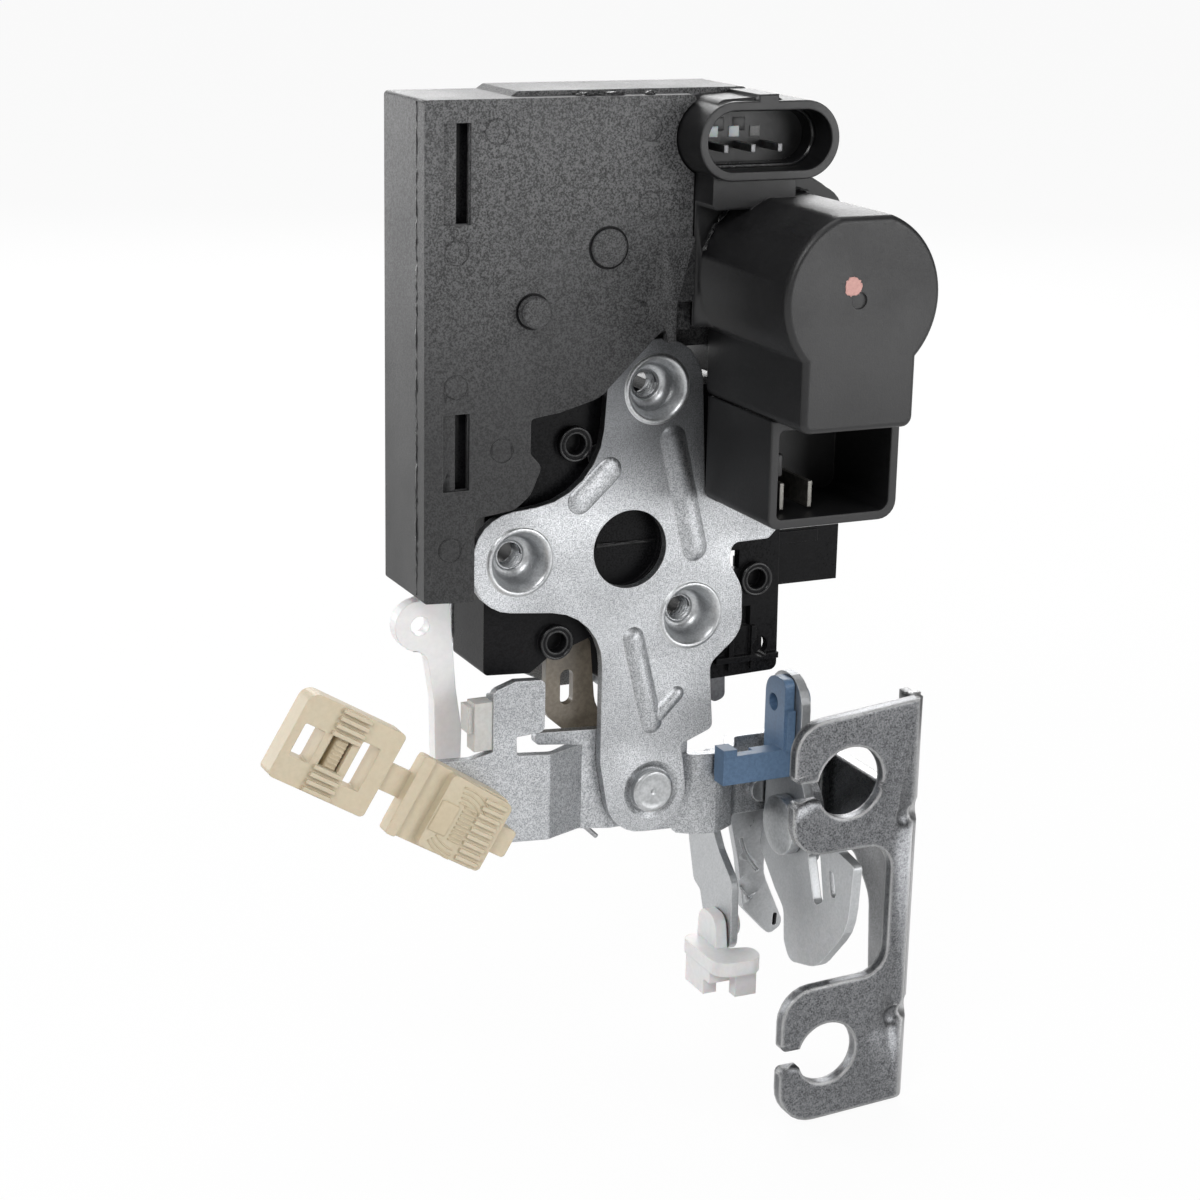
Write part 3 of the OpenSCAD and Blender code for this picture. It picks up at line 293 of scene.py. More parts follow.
PIT_BLACK = (0.03, 0.03, 0.03)
ZINC_SHADOW = (0.1, 0.104, 0.11)


def plated(name, dark, light, rough=0.35, grain=1500, contrast=0.14, depth=0.00002, radius=0.00035,
           scratches=0.4, edge=(0.85, 0.86, 0.87), patches=24.0, specks=0.15, wavy=0.0, rubbed=0.0,
           painted_shade=None, painted_highlight=None, **sockets):
    """Zinc-coated steel: speckle, cloudy patches, bright rubbed edges (on the bracket also a painted
    highlight), scratches and pits. wavy bends the sheet softly, and rubbed makes its edges less like a
    mirror. A painted shade darkens and a painted highlight brightens it along an axis: the axis, the mm
    where that starts and ends, and how much."""
    m, t, skin = material(name, metallic=1.0, **sockets)
    grit = use(t, GRAIN, Scale=grain, Contrast=contrast)
    edges = use(t, EDGE, Radius=radius)
    marks = use(t, SCRATCH, Scale=150, Amount=scratches)["Scratch"]
    cloud = noise(t, patches, 5.0, 0.6)
    base = blend_colour(t, grit["Speck"], dark, light)
    base = blend_colour(t, band(t, cloud, 0.35, 0.75, 0.0, 0.35), base, dark)
    rub = maths(t, "MULTIPLY", edges["Edge"], 0.8)
    base = blend_colour(t, maths(t, "MAXIMUM", rub, marks), base, edge)
    if painted_shade:
        base = blend_colour(t, along(t, *painted_shade), base, ZINC_SHADOW)
    if painted_highlight:
        base = blend_colour(t, along(t, *painted_highlight), base, edge)
    base = blend_colour(t, use(t, PITS, Scale=420, Amount=specks)["Pit"], base, PIT_BLACK)
    t.links.new(base, skin.inputs["Base Color"])
    mottle = band(t, cloud, 0.3, 0.7, rough - 0.07, rough + 0.07)
    t.links.new(maths(t, "ADD", mottle, maths(t, "MULTIPLY", grit["Speck"], 0.12)), skin.inputs["Roughness"])
    bent = edges["Normal"]
    if wavy:
        bent = bump(t, noise(t, 46.0, 1.5, 0.4, move=(0.3, 0.1, 0.6)), wavy, bent)
    if rubbed:
        dulled = maths(t, "SUBTRACT", 1.0, maths(t, "MULTIPLY", edges["Edge"], rubbed))
        t.links.new(dulled, skin.inputs["Metallic"])
    t.links.new(bump(t, maths(t, "SUBTRACT", grit["Height"], marks), depth, bent), skin.inputs["Normal"])
    return m


# finishes, each from a dark and a light colour between which its grain runs
JET, SOFT_JET = (0.004, 0.004, 0.0045), (0.010, 0.010, 0.011)
ZINC_DARK, ZINC_LIGHT = (0.26, 0.27, 0.28), (0.70, 0.71, 0.73)

# case_black darkens from the top of the case towards its bottom: painted shade, so that its upper part looks
# more brightly lit
case_black = moulded("case_black", (0.005, 0.005, 0.0055), (0.15, 0.151, 0.154), rough=0.46, grain=3100,
                     contrast=0.13, depth=0.00004, worn=(0.26, 0.26, 0.26), scratches=0.04,
                     painted_shade=("Z", 86, 12, 0.8), Specular_IOR_Level=0.4)
motor_black = moulded("motor_black", JET, SOFT_JET, rough=0.4, grain=3000, depth=0.000012,
                      worn=(0.12, 0.12, 0.12), scratches=0.05, Specular_IOR_Level=0.55)
latch_black = moulded("latch_black", JET, SOFT_JET, rough=0.26, grain=2600, depth=0.00002,
                      worn=(0.06, 0.06, 0.06), scratches=0.03, Specular_IOR_Level=0.1)
glossy_black = moulded("glossy_black", (0.004, 0.004, 0.005), (0.012, 0.012, 0.013), rough=0.14,
                       grain=1800, depth=0.00003, worn=(0.16, 0.16, 0.16), scratches=0.03)
galvanised = plated("galvanised", ZINC_DARK, ZINC_LIGHT, rough=0.4, grain=3700, contrast=0.15,
                    scratches=0.12, patches=14, wavy=0.0022, rubbed=0.3)
# plate_zinc darkens towards the top of the plate: a painted shadow of the motor block above it
plate_zinc = plated("plate_zinc", ZINC_DARK, ZINC_LIGHT, rough=0.4, grain=3700, contrast=0.15,
                    scratches=0.12, patches=14, wavy=0.003, rubbed=0.3, painted_shade=("Z", 3, 24, 0.72))
# bracket_steel: a band along the bracket's right bend is brightened as a painted highlight, and its wide
# pale edges are rubbed wear and also a painted highlight
bracket_steel = plated("bracket_steel", (0.06, 0.062, 0.066), (0.27, 0.275, 0.285), rough=0.28,
                       grain=3400, contrast=0.22, scratches=0.15, edge=(0.9, 0.9, 0.9), radius=0.0012,
                       specks=0.9, wavy=0.001, rubbed=0.75, painted_highlight=("X", 51.0, 53.4, 0.42))
lever_steel = plated("lever_steel", (0.40, 0.41, 0.42), (0.54, 0.55, 0.56), rough=0.42, grain=2200,
                     contrast=0.25, depth=0.00001, scratches=0.12, specks=0.7)
lip_steel = plated("lip_steel", (0.42, 0.43, 0.44), (0.66, 0.67, 0.68), rough=0.3, grain=2400,
                   contrast=0.22, scratches=0.1)
thread_steel = plated("thread_steel", (0.5, 0.51, 0.52), (0.7, 0.71, 0.72), rough=0.24, grain=1600,
                      scratches=0.1)
head_steel = plated("head_steel", (0.36, 0.37, 0.375), (0.55, 0.56, 0.57), rough=0.33, grain=1500,
                    contrast=0.24, scratches=0.25, specks=0.35)
bright_steel = plated("bright_steel", (0.46, 0.47, 0.48), (0.64, 0.65, 0.66), rough=0.3, grain=1300,
                      contrast=0.3, depth=0.000012, scratches=0.2)
dull_steel = plated("dull_steel", (0.16, 0.16, 0.165), (0.25, 0.25, 0.26), rough=0.4, grain=1500,
                    scratches=0.25, edge=(0.5, 0.5, 0.5))
spring_steel = plated("spring_steel", (0.3, 0.3, 0.31), (0.42, 0.42, 0.43), rough=0.25, grain=1500,
                      scratches=0.1)
brass = plated("brass", (0.62, 0.5, 0.26), (0.78, 0.66, 0.38), rough=0.3, grain=1500, edge=(0.9, 0.8, 0.5))
tin = plated("tin", (0.2, 0.195, 0.18), (0.32, 0.31, 0.29), rough=0.4, grain=1500, edge=(0.5, 0.49, 0.46))
rubber = moulded("rubber", (0.012, 0.012, 0.012), (0.03, 0.03, 0.03), rough=0.7, grain=1800)
cream = moulded("cream", (0.55, 0.475, 0.34), (0.62, 0.54, 0.40), rough=0.42, grain=900, contrast=0.3,
                depth=0.00001, worn=(0.72, 0.65, 0.50), wear=0.5, Subsurface_Weight=0.12,
                Subsurface_Scale=0.003)
frosted = moulded("frosted", (0.78, 0.785, 0.79), (0.84, 0.845, 0.85), rough=0.35, grain=900,
                  contrast=0.3, depth=0.00001, worn=(0.88, 0.88, 0.88), wear=0.5, Subsurface_Weight=0.15,
                  Subsurface_Scale=0.004)
bushing_white = moulded("bushing_white", (0.50, 0.495, 0.475), (0.60, 0.595, 0.575), rough=0.38,
                        grain=1200, contrast=0.3, depth=0.00001, worn=(0.7, 0.7, 0.68), wear=0.4,
                        Subsurface_Weight=0.2, Subsurface_Scale=0.002)
white = moulded("white", (0.68, 0.685, 0.69), (0.75, 0.755, 0.76), rough=0.4, grain=900, contrast=0.3,
                depth=0.00001, worn=(0.84, 0.84, 0.84), wear=0.4, Subsurface_Weight=0.3,
                Subsurface_Scale=0.003)
cream_teeth = moulded("cream_teeth", (0.53, 0.44, 0.30), (0.60, 0.51, 0.36), rough=0.45, grain=900,
                      contrast=0.3, depth=0.00001, worn=(0.70, 0.62, 0.47), wear=0.5)
pink_paint = moulded("pink_paint", (0.52, 0.27, 0.24), (0.66, 0.38, 0.34), rough=0.6, grain=1500,
                     contrast=0.3, worn=(0.3, 0.2, 0.2))
grey_insert = moulded("grey_insert", (0.2, 0.2, 0.2), (0.28, 0.28, 0.28), rough=0.5)
acetal = moulded("acetal", (0.66, 0.65, 0.58), (0.76, 0.75, 0.68), rough=0.35, grain=900, depth=0.00001,
                 worn=(0.9, 0.9, 0.85))
tan = moulded("tan", (0.13, 0.108, 0.08), (0.2, 0.17, 0.13), rough=0.3, grain=1200, depth=0.00001,
              worn=(0.36, 0.32, 0.25), Coat_Weight=0.3, Coat_Roughness=0.2)
blue = moulded("blue", (0.085, 0.15, 0.25), (0.11, 0.19, 0.31), rough=0.42, grain=1500, depth=0.00002,
               worn=(0.2, 0.29, 0.4), scratches=0.05)

WEARS = {
    plate_zinc: ["back_plate"],
    galvanised: ["frame_plate", "outside_lever"],
    bracket_steel: ["cable_bracket"],
    latch_black: ["latch_housing", "fork_cover"],
    case_black: ["case_cover", "case_tub"],
    motor_black: ["motor_housing"],
    lever_steel: ["hook_lever", "lock_lever", "strip_lever"],
    bright_steel: ["hook_pin", "lock_pin", "strip_pin", "bracket_rivets", "fork_pin", "pawl_pin", "motor",
                   "gear_pins"],
    head_steel: ["lower_rivet"],
    dull_steel: ["fork_bolt", "pawl", "pawl_lever", "upper_terminals"],
    spring_steel: ["fork_spring", "pawl_spring", "lever_spring"],
    brass: ["motor_pinion"],
    tin: ["lower_terminals"],
    rubber: ["bumper"],
    cream: ["rod_clip"],
    frosted: ["lock_arm"],
    bushing_white: ["lever_bushing"],
    white: ["white_clip", "motor_cap"],
    acetal: ["first_gear", "second_gear", "slider"],
    tan: ["lock_link"],
    blue: ["blue_clip"],
}
for finish, wearers in WEARS.items():
    for name in wearers:
        nodes[name].data.materials.clear()
        nodes[name].data.materials.append(finish)

# modelling tools
FACING = (math.pi / 2, 0, 0)
AXES = {"Y": (FACING, Vector((0, 1, 0))), "X": ((0, math.pi / 2, 0), Vector((1, 0, 0)))}
MERGE, MERGE_NODE = 0.000004, 0.00001


def bench(*pieces):
    """Out of edit mode, with only these pieces selected and the first of them active."""
    if bpy.context.mode != "OBJECT":
        bpy.ops.object.mode_set(mode="OBJECT")
    bpy.ops.object.select_all(action="DESELECT")
    for o in pieces:
        o.select_set(True)
    if pieces:
        bpy.context.view_layer.objects.active = pieces[0]


def discard(*pieces):
    bench()
    for o in pieces:
        bpy.data.objects.remove(o)


def begin(kind, **k):
    """Add a primitive with nothing else selected, and put its place into its mesh."""
    bench()
    getattr(bpy.ops.mesh, "primitive_%s_add" % kind)(**k)
    bpy.ops.object.transform_apply(location=True, rotation=True, scale=True)
    return bpy.context.object


def pick(o, kind, test):
    """Go into edit mode with only the faces, edges or points of o that pass the test selected."""
    bench(o)
    bpy.ops.object.mode_set(mode="EDIT")
    bpy.ops.mesh.select_mode(type=kind)
    bpy.ops.mesh.select_all(action="DESELECT")
    bpy.ops.object.mode_set(mode="OBJECT")
    if kind == "FACE":
        for f in o.data.polygons:
            f.select = bool(test(f.center, f.normal))
    elif kind == "EDGE":
        co = o.data.vertices
        for e in o.data.edges:
            e.select = bool(test(co[e.vertices[0]].co, co[e.vertices[1]].co))
    else:
        for v in o.data.vertices:
            v.select = bool(test(v.co))
    bpy.ops.object.mode_set(mode="EDIT")


def every(*_):
    return True


def modify(o, kind, **k):
    """Put a modifier on o and apply it."""
    bench(o)
    mod = o.modifiers.new(kind.lower(), kind)
    for key, v in k.items():
        setattr(mod, key, v)
    bpy.ops.object.modifier_apply(modifier=mod.name)


def tear(amount, seed, uniform=1.0, normal=0.0):
    """Push the selected points about by up to amount mm, the same way each run."""
    bpy.ops.transform.vertex_random(offset=amount * MM, uniform=uniform, normal=normal, seed=seed)


def fit(o, name, body, finish, smooth=40):
    """Finish a piece: closed, facing outwards, named, dressed and riding on its body."""
    bench(o)
    bpy.ops.object.mode_set(mode="EDIT")
    bpy.ops.mesh.select_mode(type="VERT")
    bpy.ops.mesh.select_all(action="SELECT")
    bpy.ops.mesh.remove_doubles(threshold=MERGE)
    bpy.ops.mesh.normals_make_consistent(inside=False)
    bpy.ops.object.mode_set(mode="OBJECT")
    bpy.ops.object.shade_smooth_by_angle(angle=math.radians(smooth))
    o.name = o.data.name = name
    o.data.materials.clear()
    o.data.materials.append(finish)
    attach(o, body)


def again(o, shift):
    """A copy with its own mesh, moved by shift in mm and left as the active object."""
    bench()
    twin = o.copy()
    twin.data = o.data.copy()
    scene.collection.objects.link(twin)
    twin.data.transform(Matrix.Translation(mm(*shift)))
    bench(twin)
    return twin


def fresh(node):
    """A copy of a CAD node with its loose triangles merged, left in edit mode."""
    o = nodes[node].copy()
    o.data = nodes[node].data.copy()
    o.parent = None
    scene.collection.objects.link(o)
    pick(o, "VERT", every)
    bpy.ops.mesh.remove_doubles(threshold=MERGE_NODE)
    return o


def cut(o, tool):
    """Take the shape of tool out of o."""
    modify(o, "BOOLEAN", object=tool, operation="DIFFERENCE", solver="EXACT")
    discard(tool)


def turned(at, rings, along="Y", sides=64, joined=False):
    """A circle drawn out ring by ring, each ring given as (radius, depth) in mm from the point at."""
    turn, axis = AXES[along]
    r, d = rings[0]
    o = begin("circle", vertices=sides, radius=r * MM, fill_type="NOTHING" if joined else "NGON",
              location=mm(*at) + axis * d * MM, rotation=turn)
    pick(o, "EDGE", every)
    for wide, deep in rings[1:]:
        bpy.ops.mesh.extrude_edges_move(TRANSFORM_OT_translate={"value": axis * (deep - d) * MM})
        bpy.ops.transform.resize(value=(wide / r,) * 3, center_override=mm(*at) + axis * deep * MM)
        r, d = wide, deep
    if not joined:
        bpy.ops.mesh.edge_face_add()
    return o


def bar(low, high, bevel=0.0, segments=2):
    """A bar between two corners in mm, with its edges rounded."""
    size = [b - a for a, b in zip(low, high)]
    middle = [(a + b) / 2 for a, b in zip(low, high)]
    o = begin("cube", size=1, location=mm(*middle), scale=mm(*size))
    if bevel:
        pick(o, "EDGE", every)
        bpy.ops.mesh.bevel(offset=bevel * MM, segments=segments, affect="EDGES")
        bpy.ops.object.mode_set(mode="OBJECT")
    return o


def ring(at, r, thick, around, sides):
    """A round ring about the Y axis at the point at, thick being the radius of its section."""
    return begin("torus", major_radius=r * MM, minor_radius=thick * MM, major_segments=around,
                 minor_segments=sides, location=mm(*at), rotation=FACING)


def helix(r, thick, sides, pitch, turns, steps, at=(0, 0, 0)):
    """A wire wound about the Y axis, starting at the depth of the point at, with its ends closed."""
    o = begin("circle", vertices=sides, radius=thick * MM, fill_type="NGON", location=mm(r, 0, 0),
              rotation=FACING)
    modify(o, "SCREW", axis="Z", screw_offset=pitch * MM, iterations=turns, steps=steps, render_steps=steps)
    pick(o, "VERT", every)
    bpy.ops.mesh.fill_holes(sides=sides + 2)
    bpy.ops.object.mode_set(mode="OBJECT")
    o.data.transform(Matrix.Translation(mm(*at)) @ Matrix.Rotation(-math.pi / 2, 4, "X"))
    return o


def join(pieces):
    bench(*pieces)
    bpy.ops.object.join()
    return bpy.context.object


def sector(o, at, start, end):
    """Keep a ring about the Y axis at the point at from start to end degrees, and cap its ends."""
    for angle, side in ((start, 1), (end, -1)):
        a = math.radians(angle)
        pick(o, "EDGE", every)
        bpy.ops.mesh.bisect(plane_co=mm(*at), plane_no=(-side * math.sin(a), 0, side * math.cos(a)),
                            use_fill=True, clear_inner=True)
    return o


# screw bosses: the rolled lip over each flare, and the thread in its neck
BOSSES = {"top": (4.9, 0, 31), "left": (-23, 0, -0.3), "low": (13.5, 0, -14.6)}
LIP_RINGS = [(6.95, 0.08), (6.9, -0.02), (6.72, -0.04), (6.62, -0.2), (6.35, -0.34), (6.0, -0.3),
             (5.72, 0.0), (5.42, 0.45), (5.12, 0.95), (4.85, 1.5), (4.66, 2.05), (4.56, 2.7), (4.5, 3.5),
             (4.25, 4.3), (3.8, 4.85), (3.3, 5.15), (2.9, 5.3), (2.7, 5.36), (4.7, 5.39), (4.8, 2.6),
             (5.8, 1.5), (6.95, 0.08)]
THREAD_R, THREAD_PITCH, THREAD_START = 2.66, 0.95, 5.8

lip = turned((0, 0, 0), LIP_RINGS, joined=True, sides=72)
thread = helix(THREAD_R, 0.46, sides=4, pitch=THREAD_PITCH, turns=4, steps=40)
for key, (x, _, z) in BOSSES.items():
    fit(again(lip, (x, 0, z)), "boss_lip_" + key, "base", lip_steel, smooth=50)
    fit(again(thread, (x, THREAD_START, z)), "boss_thread_" + key, "base", thread_steel, smooth=50)
discard(lip, thread)

# heads: the crowned rivet through the plate, and the hook lever's headed pin
RIVET, HOOK_PIN = (5.9, 0, -50), (36.2, -2.6, -60.6)
RIVET_RINGS = [(4.34, -0.2), (4.36, -0.85), (4.2, -1.12), (3.8, -1.26), (3.3, -1.22), (3.0, -1.12),
               (2.2, -1.15), (0.9, -1.2), (0.45, -1.2), (0.25, -1.05)]
HOOK_PIN_RINGS = [(6.14, -0.5), (6.16, -2.3), (5.95, -2.62), (5.6, -2.76), (4.6, -2.74), (4.2, -2.78),
                  (1.0, -2.8)]
fit(turned(RIVET, RIVET_RINGS), "rivet_crown", "base", head_steel, smooth=50)
fit(turned(HOOK_PIN, HOOK_PIN_RINGS, along="X"), "hook_pin_crown", "base", head_steel, smooth=50)

# shiny raised rims on the latch housing's small bosses
HOUSING_BOSSES = ((-10.7, 20.9), (29.4, -9.6), (-14, -18))
RIM_RINGS = [(3.42, 0.3), (3.44, -0.1), (3.3, -0.26), (3.05, -0.28), (2.85, -0.16), (2.8, 0.05),
             (2.5, 0.08), (2.36, -0.1), (2.12, -0.1), (2.0, 0.1), (2.0, 1.2), (2.3, 1.2), (3.42, 0.3)]
rim = turned((0, 2.6, 0), RIM_RINGS, joined=True, sides=48)
for k, (x, z) in enumerate(HOUSING_BOSSES):
    fit(again(rim, (x, 0, z)), "housing_boss_rim_%d" % (k + 1), "base", glossy_black,
        smooth=50)
discard(rim)

# grease smeared across the housing behind the central hole
grease = bar((-5.2, 4.55, -0.35), (7.6, 5.15, 0.25), bevel=0.2)
pick(grease, "EDGE", every)
bpy.ops.mesh.subdivide(number_cuts=5)
tear(0.22, seed=5, uniform=0.9, normal=0.2)
modify(grease, "SUBSURF", levels=1, render_levels=1)
fit(grease, "grease_streak", "base", glossy_black, smooth=80)

# rod clip: fine teeth of both halves, drawn in the clip's own turned frame (along, depth, up)
CLIP_AT, CLIP_TURN = (-40.8, 0, -44), 31
BLOCK_FACE = -11.0


def on_clip(o):
    bench(o)
    o.data.transform(Matrix.Translation(mm(*CLIP_AT)) @ Matrix.Rotation(math.radians(CLIP_TURN), 4, "Y"))
    return o


def tooth_column(u, v, y, long, step, count):
    """Short cross teeth, one above the other."""
    first = bar((u, y, v), (u + long, y + 0.6, v + 0.42), bevel=0.14)
    return on_clip(join([first] + [again(first, (0, 0, step * k)) for k in range(1, count)]))


def arc_teeth(centre, y, radii, start, end):
    """Curved teeth about one centre, from start to end degrees."""
    at = (centre[0], y, centre[1])
    return on_clip(join([sector(ring(at, r, 0.2, 72, 8), at, start, end) for r in radii]))


pad = on_clip(bar((-3.1, -11.35, -5.1), (0.9, -10.8, 1.2), bevel=0.25, segments=3))
fit(pad, "clip_block_pad", "rod_clip", cream_teeth)
fit(tooth_column(1.7, -5.4, -11.3, 2.9, 0.84, 9), "clip_block_teeth", "rod_clip", cream_teeth)
top_arcs = arc_teeth((1.2, -3.2), BLOCK_FACE, (5.2, 6.2, 7.2, 8.2), 45, 100)
fit(top_arcs, "clip_block_arcs_top", "rod_clip", cream_teeth)
low_arcs = arc_teeth((3.6, 0.8), BLOCK_FACE, (7.6, 8.6, 9.4), -125, -88)
fit(low_arcs, "clip_block_arcs_low", "rod_clip", cream_teeth)
web = on_clip(bar((-27.0, -8.4, -3.4), (-24.5, -6.5, 3.4), bevel=0.2))
fit(web, "clip_frame_web", "rod_clip", cream_teeth)
fit(tooth_column(-26.9, -2.9, -8.7, 2.3, 0.86, 8), "clip_frame_teeth", "rod_clip", cream_teeth)

# torn flash left by the mould: down the case's seam, on its top and round the motor barrel's root
TOP_FLASH = ((-12.0, -2.3, 4.4), (-7.2, -2.3, 5.6), (0.6, -2.4, 2.0))
TOP_FLASH_Z = 86.42
BARREL_ROOT = (26.8, -5.0, 52.9)

seam = bar((-44.12, -0.42, -4.6), (-43.7, 0.02, 86))
pick(seam, "EDGE", lambda a, b: abs(a.z - b.z) > 0.01)
bpy.ops.mesh.subdivide(number_cuts=90)
tear(0.16, seed=3)
fit(seam, "case_seam_flash", "base", glossy_black, smooth=20)
for k, (x, y, wide) in enumerate(TOP_FLASH):
    lump = begin("ico_sphere", subdivisions=3, radius=1 * MM, location=(0, 0, 0))
    pick(lump, "VERT", every)
    bpy.ops.transform.resize(value=(wide / 2, 0.7, 0.62), center_override=(0, 0, 0))
    bpy.ops.transform.translate(value=mm(x, y, TOP_FLASH_Z))
    tear(0.2, seed=11 + k)
    fit(lump, "case_top_flash_%d" % (k + 1), "base", glossy_black, smooth=25)
root = sector(ring(BARREL_ROOT, 16.15, 0.42, 160, 8), BARREL_ROOT, 68, 162)
pick(root, "VERT", every)
tear(0.24, seed=8)
fit(root, "barrel_root_flash", "base", glossy_black, smooth=25)

# upper connector: the step inside its oval mouth, plugs in the three windows and a pale pane beside each
WINDOW_STEP = 4.4
STEP_RINGS = [(5.62, 0.1), (5.62, -3.4), (5.4, -3.75), (5.0, -3.75), (4.75, -3.5), (4.7, 0.1), (5.62, 0.1)]


def oval(at, rings, half, sides=64):
    """A turned ring about the Y axis, its left and right halves drawn apart into an oval."""
    o = turned(at, rings, sides=sides, joined=True)
    pick(o, "VERT", every)
    bpy.ops.transform.rotate(value=math.pi / sides, orient_axis="Y", center_override=mm(*at))
    for side in (-1, 1):
        pick(o, "VERT", lambda c: side * (c.x - at[0] * MM) > 0)
        bpy.ops.transform.translate(value=mm(side * half, 0, 0))
    return o


step = oval((20.3, -3, 78.6), STEP_RINGS, 7.3)
fit(step, "upper_socket_step", "base", glossy_black)
plug = bar((8.6, -3.0, 79.55), (11.4, -1.9, 82.05), bevel=0.1)
pane = bar((12.25, -3.2, 78.4), (14.45, -2.6, 80.4), bevel=0.12)
for k, pane_finish in enumerate((white, white, grey_insert)):
    shift = (WINDOW_STEP * k, 0, 0)
    fit(again(plug, shift), "upper_socket_plug_%d" % (k + 1), "base", motor_black)
    fit(again(pane, shift), "upper_socket_window_%d" % (k + 1), "base", pane_finish)
discard(plug, pane)

# lower connector: the latch tongue on its left wall
tongue = bar((17.6, -24.4, 18.2), (19.2, -9, 22.6), bevel=0.5, segments=3)
fit(tongue, "lower_socket_tongue", "base", motor_black)

# motor barrel and connectors with softly rounded front edges, in place of the plain moulding
# the barrel's front is set back, so that the paint dab on it stays within the part's box
BARREL_FRONT, SET_BACK = -37.92, 0.08
DIMPLE, DIMPLE_CLEAR = mm(25.8, BARREL_FRONT, 52.9), 3
# each rounded front is its depth, the width of its rounding and the steps in it
FRONT_EDGES = ((BARREL_FRONT, 1.2, 4), (-13, 0.3, 2), (-26, 0.3, 2))


def motor_shell():
    o = fresh("motor_housing")
    bpy.ops.mesh.dissolve_limited(angle_limit=math.radians(0.6))
    pick(o, "VERT", lambda c: c.y < (BARREL_FRONT - 0.03) * MM)
    bpy.ops.transform.translate(value=mm(0, SET_BACK, 0))
    for y, size, steps in FRONT_EDGES:
        pick(o, "FACE", lambda c, n: abs(c.y - y * MM) < 2e-5 and n.y < -0.99)
        bpy.ops.mesh.region_to_loop()
        bpy.ops.object.mode_set(mode="OBJECT")
        for e in [e for e in o.data.edges if e.select]:
            e.select = (o.data.vertices[e.vertices[0]].co - DIMPLE).length > DIMPLE_CLEAR * MM
        bpy.ops.object.mode_set(mode="EDIT")
        bpy.ops.mesh.bevel(offset=size * MM, segments=steps, affect="EDGES", clamp_overlap=False)
        bpy.ops.object.mode_set(mode="OBJECT")
    fit(o, "motor_shell", "base", motor_black, smooth=32)
    modify(o, "WEIGHTED_NORMAL", keep_sharp=True, weight=80)
    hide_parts("motor_housing")


motor_shell()

# the paint dab beside the dimple on the barrel's front
DAB = mm(24.3, -37.91, 55.5)
dab = begin("circle", vertices=28, radius=1.75 * MM, fill_type="NGON", location=DAB, rotation=FACING)
pick(dab, "VERT", every)
tear(0.2, seed=4)
bpy.ops.transform.resize(value=(1, 0, 1), center_override=DAB)
pick(dab, "FACE", every)
bpy.ops.mesh.extrude_region_move(TRANSFORM_OT_translate={"value": mm(0, -0.08, 0)})
fit(dab, "paint_dab", "base", pink_paint)

# the cover with the narrow through slots at the right of its two recesses
COVER_SLOTS = ((64.3, 82.3), (15.5, 29.9))
SLOT_EASE, SHADE_LAP = 0.03, 0.7


def cover_shell():
    o = fresh("case_cover")
    slots = [bar((-37.5, -6, low + SLOT_EASE), (-35.13, 1, high - SLOT_EASE)) for low, high in COVER_SLOTS]
    cut(o, join(slots))
    fit(o, "cover_shell", "base", case_black, smooth=30)
    modify(o, "WEIGHTED_NORMAL", keep_sharp=True, weight=80)
    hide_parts("case_cover")


cover_shell()

# dark strips behind the cover's slots, painted shade for the deep inside of each slot
for k, (low, high) in enumerate(COVER_SLOTS):
    shade = bar((-38.2, -1.2, low - SHADE_LAP), (-34.4, -0.4, high + SHADE_LAP), bevel=0.1)
    fit(shade, "slot_shade_%d" % (k + 1), "base", latch_black)

# rounded crown of each of the cover's pins, and a dark ring round its foot, a painted contact shadow; a pin
# is x, z, radius, front
COVER_PINS = ((-22.8, 48, 2.9, -6), (-7.8, 59, 3.5, -4.6))
SHADE_RING_FRONT, SHADE_RING_BACK = -4.06, -3.9
for k, (x, z, r, y) in enumerate(COVER_PINS):
    crown = turned((x, 0, z), [(r, y + 0.5), (r + 0.02, y + 0.05), (r - 0.12, y - 0.14), (r - 0.4, y - 0.22),
                               (r - 0.8, y - 0.2), (0.3, y - 0.16)], sides=48)
    fit(crown, "cover_pin_crown_%d" % (k + 1), "base", case_black, smooth=50)
    inner, outer = r + 0.02, r + 0.5
    line = turned((x, 0, z), [(inner, SHADE_RING_FRONT), (outer, SHADE_RING_FRONT), (outer + 0.05, SHADE_RING_BACK),
                              (inner, SHADE_RING_BACK), (inner, SHADE_RING_FRONT)], sides=48, joined=True)
    fit(line, "cover_pin_shade_ring_%d" % (k + 1), "base", latch_black)

# the soft bead pressed along the plate's upper left neck
BEAD, BEAD_TURN, BEAD_HALF = (-7.8, 0.12, 13.2), -43, 4.1


def neck_bead():
    o = begin("uv_sphere", segments=32, ring_count=16, radius=2.6 * MM, location=(0, 0, 0))
    for side in (-1, 1):
        pick(o, "VERT", lambda c: side * c.x > 1e-6)
        bpy.ops.transform.translate(value=mm(side * BEAD_HALF, 0, 0))
    pick(o, "VERT", every)
    bpy.ops.transform.resize(value=(1, 0.33, 1), center_override=(0, 0, 0))
    bpy.ops.object.mode_set(mode="OBJECT")
    o.data.transform(Matrix.Translation(mm(*BEAD)) @ Matrix.Rotation(math.radians(BEAD_TURN), 4, "Y"))
    fit(o, "plate_neck_bead", "base", galvanised, smooth=60)


neck_bead()

# spring wire behind the lever: its coil, an arm hidden behind the lever and one bent-down tail
WIRE_R = 0.5
SPRING_COIL = (5.9, 9.3, -50)
ARM_START, ARM_BEND, TAIL_END = (1.2, 9.65, -50.6), (-10.9, 9.65, -53.2), (-1.4, 9.65, -62.3)


def wire(a, b):
    a, b = mm(*a), mm(*b)
    turn = (b - a).to_track_quat("Z", "Y").to_euler()
    return begin("cylinder", vertices=12, radius=WIRE_R * MM, depth=(b - a).length, location=(a + b) / 2,
                 rotation=turn)


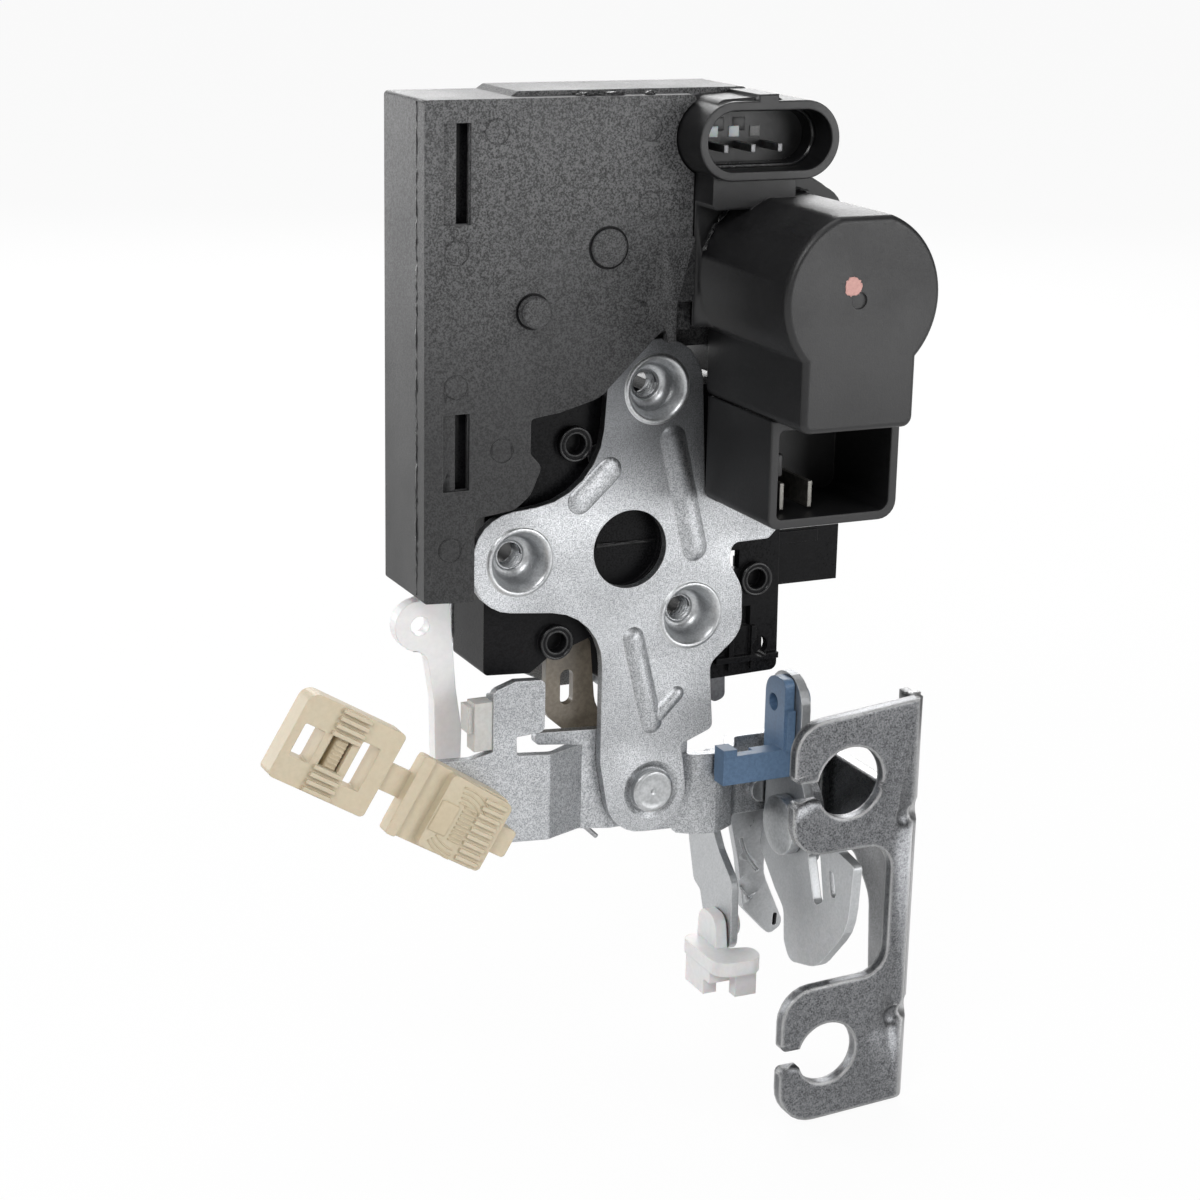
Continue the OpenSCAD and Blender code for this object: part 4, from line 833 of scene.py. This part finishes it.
coil = helix(4.8, WIRE_R, sides=10, pitch=1.1, turns=2, steps=48, at=SPRING_COIL)
bend = begin("uv_sphere", segments=12, ring_count=8, radius=WIRE_R * MM, location=mm(*ARM_BEND))
spring = join([coil, wire(ARM_START, ARM_BEND), bend, wire(ARM_BEND, TAIL_END)])
fit(spring, "spring_wire", "base", spring_steel, smooth=60)
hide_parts("lever_spring")

# lock lever with its pressed lozenge and curved slit, and the dark inside of the slot at its foot
SLIT = (49.5, 13.45, -66)
LOZENGE, LOZENGE_TURN, LOZENGE_TILT = (36.3, 12.95, -80.3), 52, 17


def lock_shell():
    o = fresh("lock_lever")
    slit = sector(ring(SLIT, 15.9, 0.42, 120, 10), SLIT, 192, 225)
    press = bar((-2.6, -0.7, -1.9), (2.6, 0.7, 1.9), bevel=0.12)
    turn = Matrix.Rotation(math.radians(LOZENGE_TURN), 4, "Y")
    tilt = Matrix.Rotation(math.radians(LOZENGE_TILT), 4, "X")
    press.data.transform(Matrix.Translation(mm(*LOZENGE)) @ turn @ tilt)
    cut(o, slit)
    cut(o, press)
    fit(o, "lock_lever_shell", "lock_lever", lever_steel, smooth=30)
    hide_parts("lock_lever")


lock_shell()
shade = bar((42.05, 14.5, -90.75), (43.55, 15.2, -87.25), bevel=0.05)
fit(shade, "lock_lever_slot_shade", "lock_lever", latch_black)

# the bracket with the dents pressed in beside its bend
DENTS = ((50.6, -53.6), (50.0, -96.6))
DENT_R, DENT_Y = 3.1, -25.9


def bracket_shell():
    o = fresh("cable_bracket")
    for x, z in DENTS:
        cut(o, begin("uv_sphere", segments=40, ring_count=20, radius=DENT_R * MM, location=mm(x, DENT_Y, z)))
    fit(o, "cable_bracket_shell", "base", bracket_steel, smooth=32)
    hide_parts("cable_bracket")


bracket_shell()

# floor and backdrop
FLOOR_SIZE, FLOOR_GAP = 8, 0.0005
FLOOR_DARK, FLOOR_LIGHT = (0.8, 0.8, 0.8), (0.84, 0.84, 0.84)
FLOOR_GLOW = 0.94
STUDIO_LIGHT = 0.2


def stage_floor():
    """A pale paper floor that shows almost white to the camera and in the metal, and keeps the shadow."""
    bpy.ops.object.select_all(action="DESELECT")
    bpy.ops.mesh.primitive_plane_add(size=FLOOR_SIZE, location=(0, 0, cad_box[0][2] - FLOOR_GAP))
    floor = bpy.context.object
    floor.name = "floor"
    m = bpy.data.materials.new("floor")
    m.use_nodes = True
    t = m.node_tree
    t.nodes.clear()
    paper = t.nodes.new("ShaderNodeBsdfDiffuse")
    mottle = band(t, noise(t, 6.0, 2.0), 0.3, 0.7)
    t.links.new(blend_colour(t, mottle, FLOOR_DARK, FLOOR_LIGHT), paper.inputs[0])
    glow = put(t, "ShaderNodeEmission", Strength=1.0, Color=(1, 1, 1, 1))
    path = t.nodes.new("ShaderNodeLightPath").outputs
    seen = maths(t, "MAXIMUM", path["Is Camera Ray"],
                 maths(t, "MAXIMUM", path["Is Glossy Ray"], path["Is Transmission Ray"]))
    mix = put(t, "ShaderNodeMixShader", i0=maths(t, "MULTIPLY", seen, FLOOR_GLOW), i1=paper.outputs[0],
              i2=glow.outputs[0])
    out = t.nodes.new("ShaderNodeOutputMaterial")
    t.links.new(mix.outputs[0], out.inputs[0])
    floor.data.materials.append(m)


def backdrop_world():
    """White to the camera, and a weak even light on the object."""
    w = bpy.data.worlds.new("studio")
    w.use_nodes = True
    t = w.node_tree
    t.nodes.clear()
    soft = put(t, "ShaderNodeBackground", Strength=STUDIO_LIGHT, Color=(1, 1, 1, 1))
    plain = put(t, "ShaderNodeBackground", Strength=1.0, Color=(1, 1, 1, 1))
    path = t.nodes.new("ShaderNodeLightPath").outputs
    mix = put(t, "ShaderNodeMixShader", i0=path["Is Camera Ray"], i1=soft.outputs[0], i2=plain.outputs[0])
    out = t.nodes.new("ShaderNodeOutputWorld")
    t.links.new(mix.outputs[0], out.inputs[0])
    scene.world = w


stage_floor()
backdrop_world()
